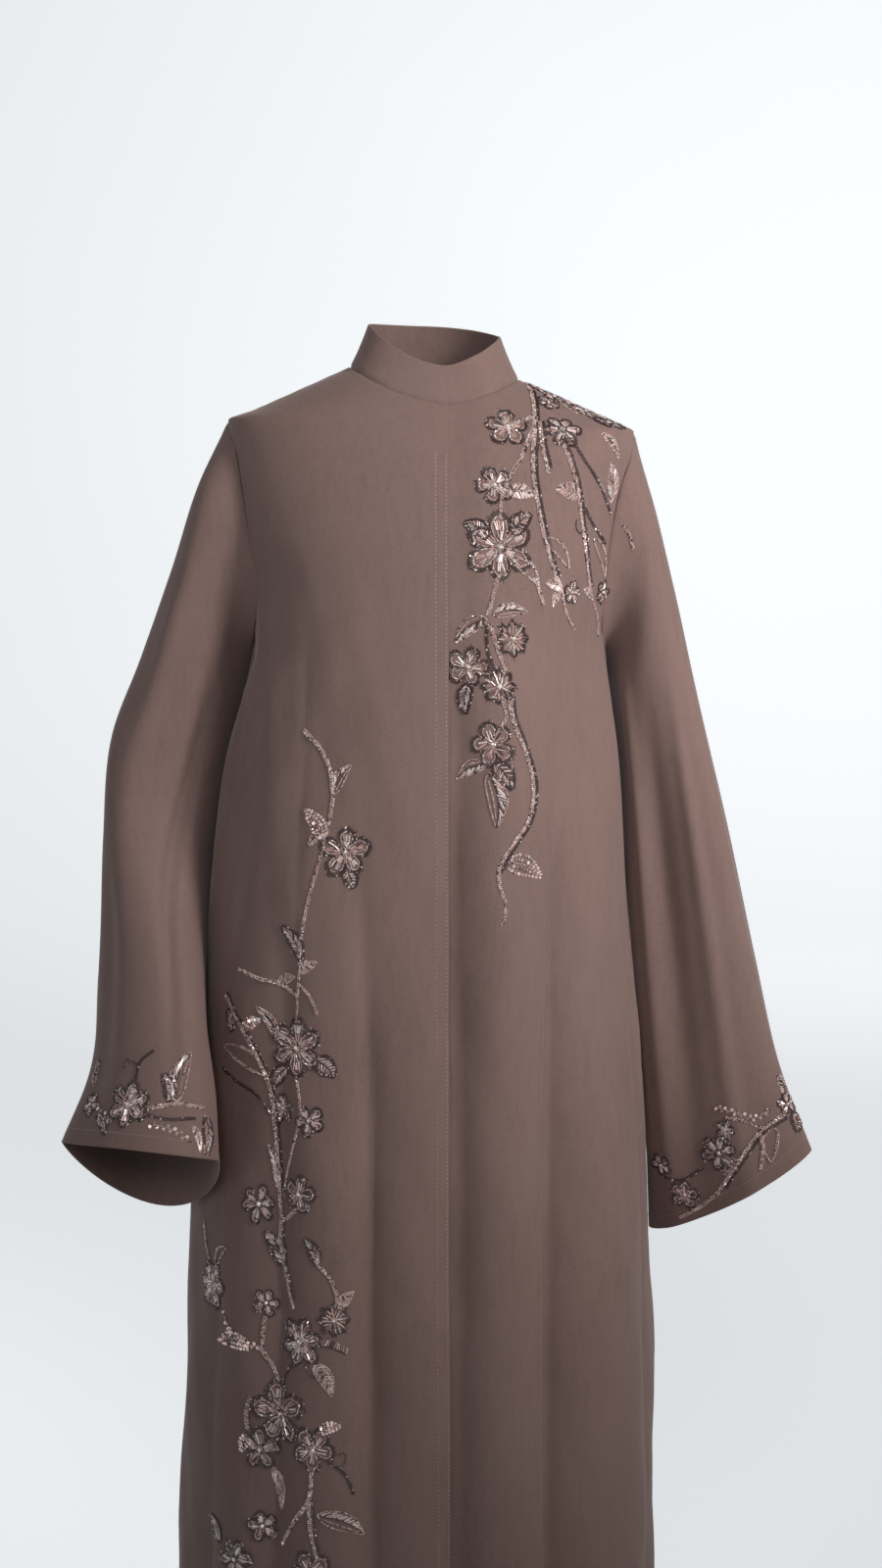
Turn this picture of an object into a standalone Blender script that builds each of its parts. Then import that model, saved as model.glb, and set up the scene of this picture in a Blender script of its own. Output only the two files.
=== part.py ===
"""Abaya cloak: a long open-fronted cloak with a stand collar and flared sleeves, as worn.

Six pieces of cloth are cut and sewn: two fronts, one back, two sleeves and a collar band.
Every piece is a wall of even thickness on a common form, which sections and folds describe.
The wearer faces -Y, +X is the wearer's left, and the origin lies level with the shoulder
neck points, in the middle of the neck. Units are metres.
"""
import math
from collections import namedtuple

import bmesh
import bpy
import numpy as np

# Driving dimensions
WALL = 0.0020  # thickness of the cloth wall
SEAM_GAP = 0.0003  # space left between two pieces along a seam
HEM_HEIGHT = -1.42  # the hem, below the shoulder neck points
LAP_WIDTH = 0.030  # how far the right front crosses over the left one
LAP_DROP = 0.0040  # how deep the left front lies under the right one
LAP_RUN = 0.035  # width over which the left front sinks to that depth
ROUNDNESS = 2.15  # exponent of the body's sections, where 2 is an ellipse
JOIN_HEIGHT = -0.29  # below this the fronts and back meet in closed rings
ARMHOLE_TURN = math.radians(21)  # how far the armhole reaches round from the side
CUFF_CREASE = 0.35  # how sharply the sleeve is creased at its two sides, at the cuff
SLEEVE_FLATNESS = 0.40  # how flat the sleeve's two faces hang, halfway down
COLLAR_FRONT = 0.0335  # rise of the collar at the centre front
COLLAR_BACK = 0.0440  # rise of the collar at the centre back
COLLAR_LEAN = 0.215  # how far the collar narrows towards its top, as a share of its radius
COLLAR_CORNER = 0.013  # radius of the rounded corner at the collar's lapped end
SETTLED_HEIGHT = -0.15  # above this the columns bend from the shoulder towards the armhole
BACK_NECK_X = -0.002  # centre back of the neckline
BACK_CENTRING = 0.5  # depth over which the centre back line drifts to the body's middle
LAP_FLAT = 0.004  # stretch beyond the lap's edge that still lies at full depth
LEAST_SLANT = 0.45  # limits how far a mitred seam edge may reach in

# How finely each piece is divided
NECK_FRONT_STEPS = 9
NECK_BACK_STEPS = 12
SHOULDER_STEPS = 7
ARMHOLE_STEPS = 9
YOKE_ROWS = ARMHOLE_STEPS + 1
SKIRT_ROWS = 10
SLEEVE_ROWS = 13
COLLAR_ROWS = 2
FINE_STEPS = 60

# Sections of the body: height, then how far the cloth reaches to the wearer's right and left
# and to the front and back. The first rows follow the slope of the shoulders.
Section = namedtuple("Section", "height right left front back")
BODY_SECTIONS = (
    Section(0.0150, -0.0575, 0.0285, -0.036, 0.045),
    Section(0.0058, -0.0780, 0.0492, -0.048, 0.056),
    Section(-0.0056, -0.1038, 0.0749, -0.057, 0.066),
    Section(-0.0190, -0.1342, 0.1052, -0.066, 0.077),
    Section(-0.0320, -0.1637, 0.1345, -0.075, 0.086),
    Section(-0.0425, -0.1890, 0.1580, -0.082, 0.092),
    Section(-0.0530, -0.1895, 0.1800, -0.088, 0.097),
    Section(-0.0700, -0.1865, 0.1815, -0.098, 0.104),
    Section(-0.1000, -0.1845, 0.1755, -0.111, 0.113),
    Section(-0.1500, -0.1780, 0.1670, -0.126, 0.122),
    Section(-0.2000, -0.1665, 0.1590, -0.134, 0.126),
    Section(-0.2400, -0.1665, 0.1530, -0.138, 0.127),
    Section(-0.2900, -0.1780, 0.1600, -0.140, 0.127),
    Section(-0.3500, -0.1915, 0.1690, -0.142, 0.127),
    Section(-0.4600, -0.2080, 0.1765, -0.146, 0.129),
    Section(-0.6200, -0.2190, 0.1900, -0.151, 0.134),
    Section(-0.8000, -0.2305, 0.2010, -0.157, 0.140),
    Section(-1.0500, -0.2410, 0.2065, -0.164, 0.149),
    Section(-1.4200, -0.2560, 0.2120, -0.174, 0.162),
)

# Height of the neckline across the front and the back, and the front edge of the lap
NeckPoint = namedtuple("NeckPoint", "x front_height back_height")
NECKLINE = (
    NeckPoint(-0.0780, 0.0058, 0.0058),
    NeckPoint(-0.0620, -0.0050, 0.0045),
    NeckPoint(-0.0330, -0.0190, 0.0025),
    NeckPoint(0.0000, -0.0275, 0.0010),
    NeckPoint(0.0120, -0.0285, 0.0005),
    NeckPoint(0.0450, -0.0205, -0.0015),
    NeckPoint(0.0660, -0.0110, -0.0040),
    NeckPoint(0.0749, -0.0056, -0.0056),
)
EdgePoint = namedtuple("EdgePoint", "height x")
LAP_EDGE = (
    EdgePoint(0.0150, 0.0100),
    EdgePoint(-0.2000, 0.0104),
    EdgePoint(-0.7000, 0.0114),
    EdgePoint(-1.4200, 0.0145),
)

# Shoulder tips and the bottoms of the armholes, as heights on the form
ArmPlace = namedtuple("ArmPlace", "side_turn neck tip underarm")
ARM_PLACES = {
    "right": ArmPlace(math.pi, 0.0058, -0.0425, -0.235),
    "left": ArmPlace(0.0, -0.0056, -0.0530, -0.245),
}

# Folds of the body. Turns are degrees round the body: 0 is the wearer's left side, 90 the
# centre front, 180 the right side and 270 the centre back. A fold begins at one height, is
# full at another, and stands out by its depth, or in where the depth is negative. Its two
# flanks have their own widths in degrees.
Fold = namedtuple("Fold", "turn_top turn_hem begins full less_side more_side depth")
BODY_FOLDS = (
    Fold(205, 206, -0.35, -1.20, 7.0, 7.0, 0.014),
    Fold(221, 221, -0.40, -1.20, 6.0, 7.0, -0.014),
    Fold(238, 236, -0.30, -1.20, 6.0, 8.0, 0.016),
    Fold(254, 252, -0.30, -1.20, 6.0, 5.0, -0.014),
    Fold(268, 269, -0.34, -1.20, 6.0, 6.0, 0.017),
    Fold(285, 287, -0.36, -1.20, 7.0, 6.0, -0.013),
    Fold(302, 305, -0.30, -1.20, 7.0, 6.0, 0.016),
    Fold(320, 322, -0.40, -1.20, 7.0, 7.0, -0.013),
    Fold(336, 338, -0.40, -1.20, 7.0, 7.0, 0.012),
)

# Between their creases the fronts hang in rounded pipes. The turns of the two creases that
# bound a pipe are given below the chest and where they have settled. A pipe begins at one
# height and stands out by its whole height at another.
Pipe = namedtuple("Pipe", "less_top less_low more_top more_low begins full height")
FRONT_PIPES = (
    Pipe(17, 20, 50, 59, -0.24, -0.75, 0.0090),
    Pipe(50, 59, 81, 81, -0.13, -0.45, 0.0090),
    Pipe(84, 84, 105, 101, -0.15, -0.80, 0.0050),
    Pipe(105, 101, 129, 122, -0.34, -0.80, 0.0085),
    Pipe(129, 122, 154, 146, -0.40, -1.00, 0.0065),
)
PIPES_TOP, PIPES_SETTLED = -0.25, -0.82

# Sections of the sleeves: the outermost, foremost, innermost and rearmost point of each
Cuff = namedtuple("Cuff", "outer front inner back")
SLEEVE_SECTIONS = {
    "right": (
        Cuff((-0.2100, 0.004, -0.086), (-0.192, -0.047, -0.165),
             (-0.1790, 0.030, -0.257), (-0.202, 0.070, -0.172)),
        Cuff((-0.2407, 0.022, -0.177), (-0.216, -0.042, -0.238),
             (-0.1800, 0.048, -0.308), (-0.228, 0.100, -0.243)),
        Cuff((-0.2720, 0.042, -0.262), (-0.238, -0.036, -0.318),
             (-0.1945, 0.046, -0.380), (-0.246, 0.122, -0.322)),
        Cuff((-0.2970, 0.050, -0.330), (-0.256, -0.042, -0.382),
             (-0.2035, 0.040, -0.440), (-0.258, 0.124, -0.398)),
        Cuff((-0.3045, 0.024, -0.425), (-0.262, -0.070, -0.452),
             (-0.2142, 0.006, -0.502), (-0.264, 0.100, -0.490)),
        Cuff((-0.3100, -0.022, -0.540), (-0.256, -0.112, -0.545),
             (-0.2105, -0.074, -0.580), (-0.276, 0.036, -0.600)),
        Cuff((-0.3130, -0.064, -0.625), (-0.254, -0.148, -0.614),
             (-0.1960, -0.118, -0.640), (-0.272, -0.008, -0.680)),
        Cuff((-0.3370, -0.098, -0.688), (-0.255, -0.182, -0.676),
             (-0.1915, -0.142, -0.694), (-0.252, -0.054, -0.758)),
    ),
    "left": (
        Cuff((0.1935, 0.004, -0.102), (0.178, -0.046, -0.176),
             (0.1695, 0.024, -0.266), (0.188, 0.070, -0.184)),
        Cuff((0.2170, 0.008, -0.194), (0.192, -0.042, -0.252),
             (0.1662, 0.055, -0.325), (0.204, 0.096, -0.264)),
        Cuff((0.2410, 0.006, -0.302), (0.207, -0.034, -0.352),
             (0.1764, 0.058, -0.415), (0.222, 0.110, -0.364)),
        Cuff((0.2670, 0.000, -0.419), (0.223, -0.030, -0.466),
             (0.1840, 0.060, -0.515), (0.242, 0.118, -0.474)),
        Cuff((0.2940, -0.010, -0.536), (0.238, -0.026, -0.580),
             (0.1924, 0.060, -0.615), (0.258, 0.112, -0.584)),
        Cuff((0.3170, -0.024, -0.635), (0.252, -0.022, -0.684),
             (0.1998, 0.058, -0.715), (0.276, 0.096, -0.680)),
        Cuff((0.3470, -0.034, -0.711), (0.268, -0.014, -0.772),
             (0.2042, 0.060, -0.808), (0.290, 0.070, -0.758)),
    ),
}

# Folds of the sleeves, in degrees round the sleeve (0 outer, 90 front, 180 inner, 270 back)
# and in shares of its length, with the depth in metres
SleeveFold = namedtuple("SleeveFold", "turn_top turn_cuff begins full ends width depth")
SLEEVE_FOLDS = {
    "right": (
        SleeveFold(60, 62, 0.05, 0.25, 0.60, 14, 0.006),
        SleeveFold(98, 104, 0.10, 0.40, 0.85, 15, -0.007),
        SleeveFold(30, 40, 0.50, 0.72, 1.20, 16, -0.006),
        SleeveFold(250, 255, 0.20, 0.60, 1.20, 18, -0.008),
    ),
    "left": (
        SleeveFold(112, 110, 0.15, 0.55, 1.30, 13, -0.008),
        SleeveFold(66, 70, 0.30, 0.70, 1.40, 15, 0.005),
        SleeveFold(245, 240, 0.20, 0.60, 1.20, 18, -0.008),
        SleeveFold(300, 295, 0.30, 0.80, 1.40, 16, 0.006),
    ),
}

# Colour, roughness and sheen of the crepe
CLOTH_COLOURS = {
    "right_front": (0.178, 0.122, 0.110),
    "left_front": (0.186, 0.128, 0.116),
    "back": (0.170, 0.118, 0.106),
    "right_sleeve": (0.174, 0.120, 0.108),
    "left_sleeve": (0.190, 0.131, 0.118),
    "collar": (0.182, 0.125, 0.113),
}
CLOTH_ROUGHNESS = 0.82
CLOTH_SHEEN = 0.3


# ---------------------------------------------------------------- curves through tables
def limited_slopes(knots, values):
    """Slopes at the knots that never overshoot the values."""
    steps = np.diff(knots)
    rises = np.diff(values) / steps
    slopes = np.empty(len(knots))
    slopes[0], slopes[-1] = rises[0], rises[-1]
    before, after = rises[:-1], rises[1:]
    same_sign = before * after > 0
    safe_sum = np.where(same_sign, before + after, 1.0)
    slopes[1:-1] = np.where(same_sign, 2 * before * after / safe_sum, 0.0)
    return slopes


def hermite(knots, values, slopes, at):
    """Cubic curve through values at knots with given slopes."""
    span = np.clip(np.searchsorted(knots, at, side="right") - 1, 0, len(knots) - 2)
    width = knots[span + 1] - knots[span]
    share = (at - knots[span]) / width
    extra = values.ndim - 1
    width = width.reshape(width.shape + (1,) * extra)
    share = share.reshape(share.shape + (1,) * extra)
    square, cube = share ** 2, share ** 3
    return ((2 * cube - 3 * square + 1) * values[span]
            + (cube - 2 * square + share) * width * slopes[span]
            + (3 * square - 2 * cube) * values[span + 1]
            + (cube - square) * width * slopes[span + 1])


def table_curve(rows, knot_name, value_name):
    """A function that reads one column of a table smoothly against another."""
    pairs = sorted((getattr(row, knot_name), getattr(row, value_name)) for row in rows)
    knots = np.array([pair[0] for pair in pairs])
    values = np.array([pair[1] for pair in pairs])
    slopes = limited_slopes(knots, values)
    return lambda at: hermite(knots, values, slopes, np.asarray(at, float))


def smooth_step(share):
    """Eased rise from 0 to 1."""
    share = np.clip(share, 0.0, 1.0)
    return share * share * (3 - 2 * share)


REACH_RIGHT = table_curve(BODY_SECTIONS, "height", "right")
REACH_LEFT = table_curve(BODY_SECTIONS, "height", "left")
REACH_FRONT = table_curve(BODY_SECTIONS, "height", "front")
REACH_BACK = table_curve(BODY_SECTIONS, "height", "back")
NECK_FRONT_HEIGHT = table_curve(NECKLINE, "x", "front_height")
NECK_BACK_HEIGHT = table_curve(NECKLINE, "x", "back_height")
LAP_EDGE_X = table_curve(LAP_EDGE, "height", "x")


# ---------------------------------------------------------------- the body's form
def middle_and_half(height):
    """Middle of the body's width, and half of that width."""
    right, left = REACH_RIGHT(height), REACH_LEFT(height)
    return (left + right) / 2, (left - right) / 2


def form_point(turn, height):
    """Point of the bare form at an angle round the body and a height."""
    turn, height = np.broadcast_arrays(np.asarray(turn, float), np.asarray(height, float))
    middle, half = middle_and_half(height)
    across, along = np.cos(turn), np.sin(turn)
    power = 2 / ROUNDNESS
    depth = np.where(along > 0, REACH_FRONT(height), REACH_BACK(height))
    x = middle + half * np.sign(across) * np.abs(across) ** power
    y = depth * np.abs(along) ** power
    return np.stack([x, y, height], axis=-1)


def front_turn(x, height):
    """Angle at which the front of the form passes through x at a height."""
    middle, half = middle_and_half(height)
    share = np.clip((x - middle) / half, -1.0, 1.0)
    return np.arccos(np.sign(share) * np.abs(share) ** (ROUNDNESS / 2))


def plan_normal(turn, height):
    """Level direction that points out of the form."""
    step = math.radians(0.5)
    run = form_point(turn + step, height) - form_point(turn - step, height)
    normal = np.stack([-run[..., 1], run[..., 0], np.zeros_like(run[..., 0])], axis=-1)
    outward = form_point(turn, height) * (1, 1, 0)
    sign = np.sign(np.sum(normal * outward, axis=-1, keepdims=True))
    length = np.linalg.norm(normal, axis=-1, keepdims=True)
    return sign * normal / np.maximum(length, 1e-9)


def fold_height(turn, height):
    """How far the folds lift the cloth off the form."""
    degrees = np.degrees(turn) % 360
    lift = np.zeros(np.broadcast(degrees, height).shape)
    for fold in BODY_FOLDS:
        fall = np.clip((fold.begins - height) / (fold.begins - HEM_HEIGHT), 0, 1)
        centre = fold.turn_top + (fold.turn_hem - fold.turn_top) * fall
        away = degrees - centre
        width = np.where(away < 0, fold.less_side, fold.more_side)
        strength = smooth_step((fold.begins - height) / (fold.begins - fold.full))
        lift += fold.depth * strength * np.exp(-(away / width) ** 2)
    return lift


def pipe_height(turn, height):
    """How far the pipes of the fronts lift the cloth off the form."""
    degrees = np.degrees(turn) % 360
    settled = np.clip((PIPES_TOP - height) / (PIPES_TOP - PIPES_SETTLED), 0, 1)
    lift = np.zeros(np.broadcast(degrees, height).shape)
    for pipe in FRONT_PIPES:
        less = pipe.less_top + (pipe.less_low - pipe.less_top) * settled
        more = pipe.more_top + (pipe.more_low - pipe.more_top) * settled
        across = np.clip((degrees - less) / (more - less), 0, 1)
        strength = smooth_step((pipe.begins - height) / (pipe.begins - pipe.full))
        lift += pipe.height * strength * 4 * across * (1 - across)
    return lift


def body_point(turn, height, drop=0.0):
    """Point on the outside of the cloth, folds included."""
    turn, height = np.broadcast_arrays(np.asarray(turn, float), np.asarray(height, float))
    lift = fold_height(turn, height) + pipe_height(turn, height) - drop
    return form_point(turn, height) + plan_normal(turn, height) * lift[..., None]


def lap_drop(x, edge_x):
    """How far the left front sinks under the lap at x."""
    return LAP_DROP * smooth_step((edge_x + LAP_RUN - x) / (LAP_RUN - LAP_FLAT))


# ---------------------------------------------------------------- edges of the panels
def neck_turns(first_x, last_x, steps, behind):
    """Angles and heights along the neckline between two places, angles as for the front."""
    middle = (NECKLINE[0].x + NECKLINE[-1].x) / 2
    half = (NECKLINE[-1].x - NECKLINE[0].x) / 2
    ends = [math.acos(max(-1, min(1, (x - middle) / half))) for x in (first_x, last_x)]
    x = middle + half * np.cos(np.linspace(*ends, steps + 1))
    heights = (NECK_BACK_HEIGHT if behind else NECK_FRONT_HEIGHT)(x)
    return front_turn(x, heights), heights


def armhole_path(side, behind):
    """Angles and heights down the armhole in even steps, from the tip to the underarm."""
    place = ARM_PLACES[side]
    share = np.linspace(0, 1, FINE_STEPS + 1)
    heights = place.tip + (place.underarm - place.tip) * (1 - np.cos(math.pi * share)) / 2
    reach = ARMHOLE_TURN * np.sin(math.pi * share)
    turns = place.side_turn + (-reach if place.side_turn else reach)
    turns = 2 * math.pi - turns if behind else turns
    return even_steps(turns, heights, ARMHOLE_STEPS)


def even_steps(turns, heights, steps):
    """Places at equal distances along a path on the form."""
    points = form_point(turns, heights)
    gaps = np.linalg.norm(np.diff(points, axis=0), axis=1)
    length = np.concatenate([[0], np.cumsum(gaps)])
    at = np.linspace(0, length[-1], steps + 1)
    return np.interp(at, length, turns), np.interp(at, length, heights)


# ---------------------------------------------------------------- grids of the pieces
def armhole_reach(side, height):
    """How far the armhole has taken the cloth back from the side at a height."""
    place = ARM_PLACES[side]
    share = np.clip((place.tip - height) / (place.tip - place.underarm), 0, 1)
    return ARMHOLE_TURN * np.sqrt(np.maximum(1 - (1 - 2 * share) ** 2, 0))


def shared_turn(share, height, side, edge_x):
    """Front angle at a share of the way from the middle edge to the armhole or side seam."""
    start = front_turn(edge_x(height), height)
    side_turn = ARM_PLACES[side].side_turn
    reach = armhole_reach(side, height)
    stop = side_turn - reach if side_turn else side_turn + reach
    return start + (stop - start) * share


def column_path(turn, height, share, side, edge_x):
    """A column from a place on the neckline or shoulder down to the closed rings."""
    fall = np.linspace(0, 1, FINE_STEPS + 1)
    heights = height + (JOIN_HEIGHT - height) * fall ** 2
    low = np.minimum(heights, SETTLED_HEIGHT)
    own_x = form_point(shared_turn(share, low, side, edge_x), low)[:, 0]
    start_x = form_point(turn, height)[0]
    settled_fall = math.sqrt((height - SETTLED_HEIGHT) / (height - JOIN_HEIGHT))
    settled = np.minimum(fall / settled_fall, 1)
    turns = front_turn(start_x + (own_x - start_x) * settled, heights)
    turns[0] = turn
    return even_steps(turns, heights, YOKE_ROWS)


def panel_half(side, edge_x, neck_steps, behind):
    """Angles and heights of half the body's front or back.

    The first column follows edge_x from the neckline to the hem, and the last one the
    armhole and the side seam. The others start at the neckline and the shoulder seam.
    """
    place = ARM_PLACES[side]
    neck_x = form_point(place.side_turn, place.neck)[0]
    neck_middle = float(edge_x(NECK_FRONT_HEIGHT(0.0)))
    neck = neck_turns(neck_middle, neck_x, neck_steps, behind)
    shoulder_heights = np.linspace(place.neck, place.tip, SHOULDER_STEPS + 1)[1:]
    top_heights = np.concatenate([neck[1], shoulder_heights])
    top_turns = np.concatenate([neck[0], np.full(SHOULDER_STEPS, place.side_turn)])
    share = np.linspace(0, 1, len(top_turns))
    columns = []
    for turn, height, part in zip(top_turns, top_heights, share):
        columns.append(column_path(turn, height, part, side, edge_x))
    arm_turns, arm_heights = armhole_path(side, behind)
    arm_turns = 2 * math.pi - arm_turns if behind else arm_turns
    columns[-1] = (np.append(arm_turns, place.side_turn), np.append(arm_heights, JOIN_HEIGHT))
    turns = np.array([column[0] for column in columns]).T
    heights = np.array([column[1] for column in columns]).T
    low = np.linspace(JOIN_HEIGHT, HEM_HEIGHT, SKIRT_ROWS + 1)[1:, None]
    turns = np.concatenate([turns, shared_turn(share[None, :], low, side, edge_x)])
    heights = np.concatenate([heights, low + 0 * share[None, :]])
    return (2 * math.pi - turns if behind else turns), heights


def under_edge_x(height):
    """Hidden edge of the left front, under the lap."""
    return LAP_EDGE_X(height) - LAP_WIDTH


def back_middle_x(height):
    """Centre back line, half way between the side seams below the yoke."""
    drift = smooth_step(-height / BACK_CENTRING)
    return BACK_NECK_X + (middle_and_half(height)[0] - BACK_NECK_X) * drift


def front_grid(side):
    """Points of a front, the left one sinking under the lap."""
    edge_x = LAP_EDGE_X if side == "right" else under_edge_x
    turns, heights = panel_half(side, edge_x, NECK_FRONT_STEPS, False)
    if side == "right":
        return body_point(turns, heights)
    x = form_point(turns, heights)[..., 0]
    return body_point(turns, heights, lap_drop(x, LAP_EDGE_X(heights)))


def back_grid():
    """Points of the back, from the left side round to the right one."""
    halves = [body_point(*panel_half(side, back_middle_x, NECK_BACK_STEPS // 2, True))
              for side in ("left", "right")]
    return np.concatenate([halves[0][:, ::-1], halves[1][:, 1:]], axis=1)


def sleeve_loops(side):
    """The armhole, then the sleeve's sections, each a closed loop of points."""
    front_turns, front_heights = armhole_path(side, False)
    back_turns, back_heights = armhole_path(side, True)
    turns = np.concatenate([front_turns, back_turns[-2:0:-1]])
    heights = np.concatenate([front_heights, back_heights[-2:0:-1]])
    loops = [body_point(turns, heights)]
    angle = np.linspace(0, 2 * math.pi, 2 * ARMHOLE_STEPS, endpoint=False)[:, None]
    for down, section in zip(np.linspace(0, 1, len(SLEEVE_SECTIONS[side])),
                             SLEEVE_SECTIONS[side]):
        outer, front, inner, back = (np.array(point) for point in section)
        centre = (outer + inner) / 2
        reach = np.where(np.sin(angle) >= 0, front - centre, back - centre)
        shape = 1 + CUFF_CREASE * down ** 2 - SLEEVE_FLATNESS * math.sin(math.pi * down)
        bulge = np.abs(np.sin(angle)) ** shape
        loops.append(centre + (outer - inner) / 2 * np.cos(angle) + reach * bulge)
    return np.array(loops)


def sleeve_grid(side):
    """Points of a sleeve at even distances down its length, folds included."""
    loops = sleeve_loops(side)
    gaps = np.linalg.norm(np.diff(loops, axis=0), axis=-1).mean(axis=-1)
    knots = np.concatenate([[0], np.cumsum(gaps)])
    slopes = np.gradient(loops, knots, axis=0)
    at = np.linspace(0, knots[-1], SLEEVE_ROWS + 1)
    grid = hermite(knots, loops, slopes, at)
    share = (at / knots[-1])[:, None]
    turn = np.linspace(0, 360, loops.shape[1], endpoint=False)[None, :]
    lift = np.zeros(grid.shape[:2])
    for fold in SLEEVE_FOLDS[side]:
        centre = fold.turn_top + (fold.turn_cuff - fold.turn_top) * share
        rise = smooth_step((share - fold.begins) / (fold.full - fold.begins))
        fade = smooth_step((fold.ends - share) / (fold.ends - fold.full))
        lift += fold.depth * rise * fade * np.exp(-((turn - centre) / fold.width) ** 2)
    return grid + grid_normals(grid, True, side == "left") * lift[..., None]


def collar_grid(front_left, back, front_right):
    """A band that rises from the neckline, its two ends crossed at the centre front."""
    base = np.concatenate([
        front_left[0, :NECK_FRONT_STEPS],
        back[0, SHOULDER_STEPS:SHOULDER_STEPS + NECK_BACK_STEPS],
        front_right[0, NECK_FRONT_STEPS::-1],
    ])
    centre = np.array([(NECKLINE[0].x + NECKLINE[-1].x) / 2, 0.0, 0.0])
    plan = (base - centre) * (1, 1, 0)
    away = np.arctan2(plan[:, 0], -plan[:, 1])
    rise = COLLAR_FRONT + (COLLAR_BACK - COLLAR_FRONT) * (1 - np.cos(away)) / 2
    length = np.concatenate([[0], np.cumsum(np.linalg.norm(np.diff(base, axis=0), axis=1))])
    from_end = np.clip(length[-1] - length, 0, COLLAR_CORNER)
    corner = COLLAR_CORNER - np.sqrt(COLLAR_CORNER ** 2 - (COLLAR_CORNER - from_end) ** 2)
    rows = []
    for row in range(COLLAR_ROWS + 1):
        share = (row / COLLAR_ROWS * (1 - corner / rise))[:, None]
        lean = COLLAR_LEAN * share * (1.15 - 0.15 * share)
        rows.append(base - plan * lean + np.array([0, 0, 1]) * rise[:, None] * share)
    return np.array(rows[::-1])


def grid_normals(grid, closed, flip):
    """Unit normals of a grid of points, along rows and round columns."""
    if closed:
        round_run = np.roll(grid, -1, axis=1) - np.roll(grid, 1, axis=1)
    else:
        round_run = np.gradient(grid, axis=1)
    down_run = np.gradient(grid, axis=0)
    normals = np.cross(down_run, round_run)
    normals /= np.maximum(np.linalg.norm(normals, axis=-1, keepdims=True), 1e-12)
    return -normals if flip else normals


# ---------------------------------------------------------------- cloth walls
class Piece:
    """A named grid of points on the outside of one piece of cloth."""

    def __init__(self, name, kind, grid, flip, closed=False):
        self.name = name
        self.kind = kind
        self.grid = grid
        self.closed = closed
        self.flip = flip
        self.normals = grid_normals(grid, closed, flip)
        self.inward = -self.normals * WALL
        self.shift = np.zeros_like(grid)


def unit(vector):
    """The vector at length one."""
    return vector / np.linalg.norm(vector)


def seam_key(point):
    """A place that two pieces share, to a hundredth of a millimetre."""
    return tuple(np.round(point, 5))


def join_seams(seams):
    """Give pieces that meet one shared edge direction, and draw them half a gap apart."""
    kinds_at = {}
    runs_at = {}
    for seam, piece, cells, _ in seams:
        points = np.array([piece.grid[cell] for cell in cells])
        runs = np.gradient(points, axis=0)
        if piece.closed:
            runs = np.roll(points, -1, axis=0) - np.roll(points, 1, axis=0)
        for cell, run in zip(cells, runs):
            key = seam_key(piece.grid[cell])
            kinds = kinds_at.setdefault(key, {})
            kinds.setdefault(piece.kind, {})[piece.name] = piece.normals[cell]
            before = runs_at.get((seam, key), np.zeros(3))
            turned = -1 if np.dot(before, run) < 0 else 1
            runs_at[(seam, key)] = before + turned * unit(run)
    for seam, piece, cells, inner_cells in seams:
        for cell, inner_cell in zip(cells, inner_cells):
            key = seam_key(piece.grid[cell])
            mean = unit(sum(unit(sum(kind.values())) for kind in kinds_at[key].values()))
            slant = max(float(np.dot(mean, piece.normals[cell])), LEAST_SLANT)
            piece.inward[cell] = -mean * WALL / slant
            away = unit(np.cross(runs_at[(seam, key)], mean))
            away *= np.sign(np.dot(away, piece.grid[inner_cell] - piece.grid[cell]))
            piece.shift[cell] += away * SEAM_GAP / 2


def build_wall(piece):
    """Closed wall between the outside grid and the same grid moved in."""
    rows, columns = piece.grid.shape[:2]
    mesh = bpy.data.meshes.new(piece.name)
    work = bmesh.new()
    outside = piece.grid + piece.shift
    outer = [[work.verts.new(point) for point in row] for row in outside]
    inner = [[work.verts.new(point) for point in row] for row in outside + piece.inward]

    def pair(first, second, third, fourth):
        work.faces.new((first, second, third))
        work.faces.new((first, third, fourth))

    for row in range(rows - 1):
        for column in range(columns if piece.closed else columns - 1):
            after = (column + 1) % columns
            for skin in (outer, inner):
                pair(skin[row][column], skin[row][after], skin[row + 1][after],
                     skin[row + 1][column])
    for cells in open_edges(piece):
        for cell, following in zip(cells[:-1], cells[1:]):
            # pieces that share a seam split its rim along the same diagonals
            if seam_key(piece.grid[cell]) > seam_key(piece.grid[following]):
                cell, following = following, cell
            (row, column), (next_row, next_column) = cell, following
            pair(outer[row][column], outer[next_row][next_column],
                 inner[next_row][next_column], inner[row][column])
    bmesh.ops.recalc_face_normals(work, faces=work.faces)
    work.to_mesh(mesh)
    work.free()
    mesh.shade_smooth()
    return mesh


def open_edges(piece):
    """Every open edge of a piece, as runs of cells."""
    kinds = ("top", "bottom") if piece.closed else ("top", "bottom", "first", "last")
    edges = [edge_cells(piece, kind)[0] for kind in kinds]
    return [cells + cells[:1] for cells in edges] if piece.closed else edges


def crepe(name):
    """Matte crepe in the piece's own shade."""
    material = bpy.data.materials.new(name + "_crepe")
    material.use_nodes = True
    shader = material.node_tree.nodes["Principled BSDF"]
    shader.inputs["Base Color"].default_value = (*CLOTH_COLOURS[name], 1.0)
    shader.inputs["Roughness"].default_value = CLOTH_ROUGHNESS
    shader.inputs["Metallic"].default_value = 0.0
    shader.inputs["Sheen Weight"].default_value = CLOTH_SHEEN
    return material


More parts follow.
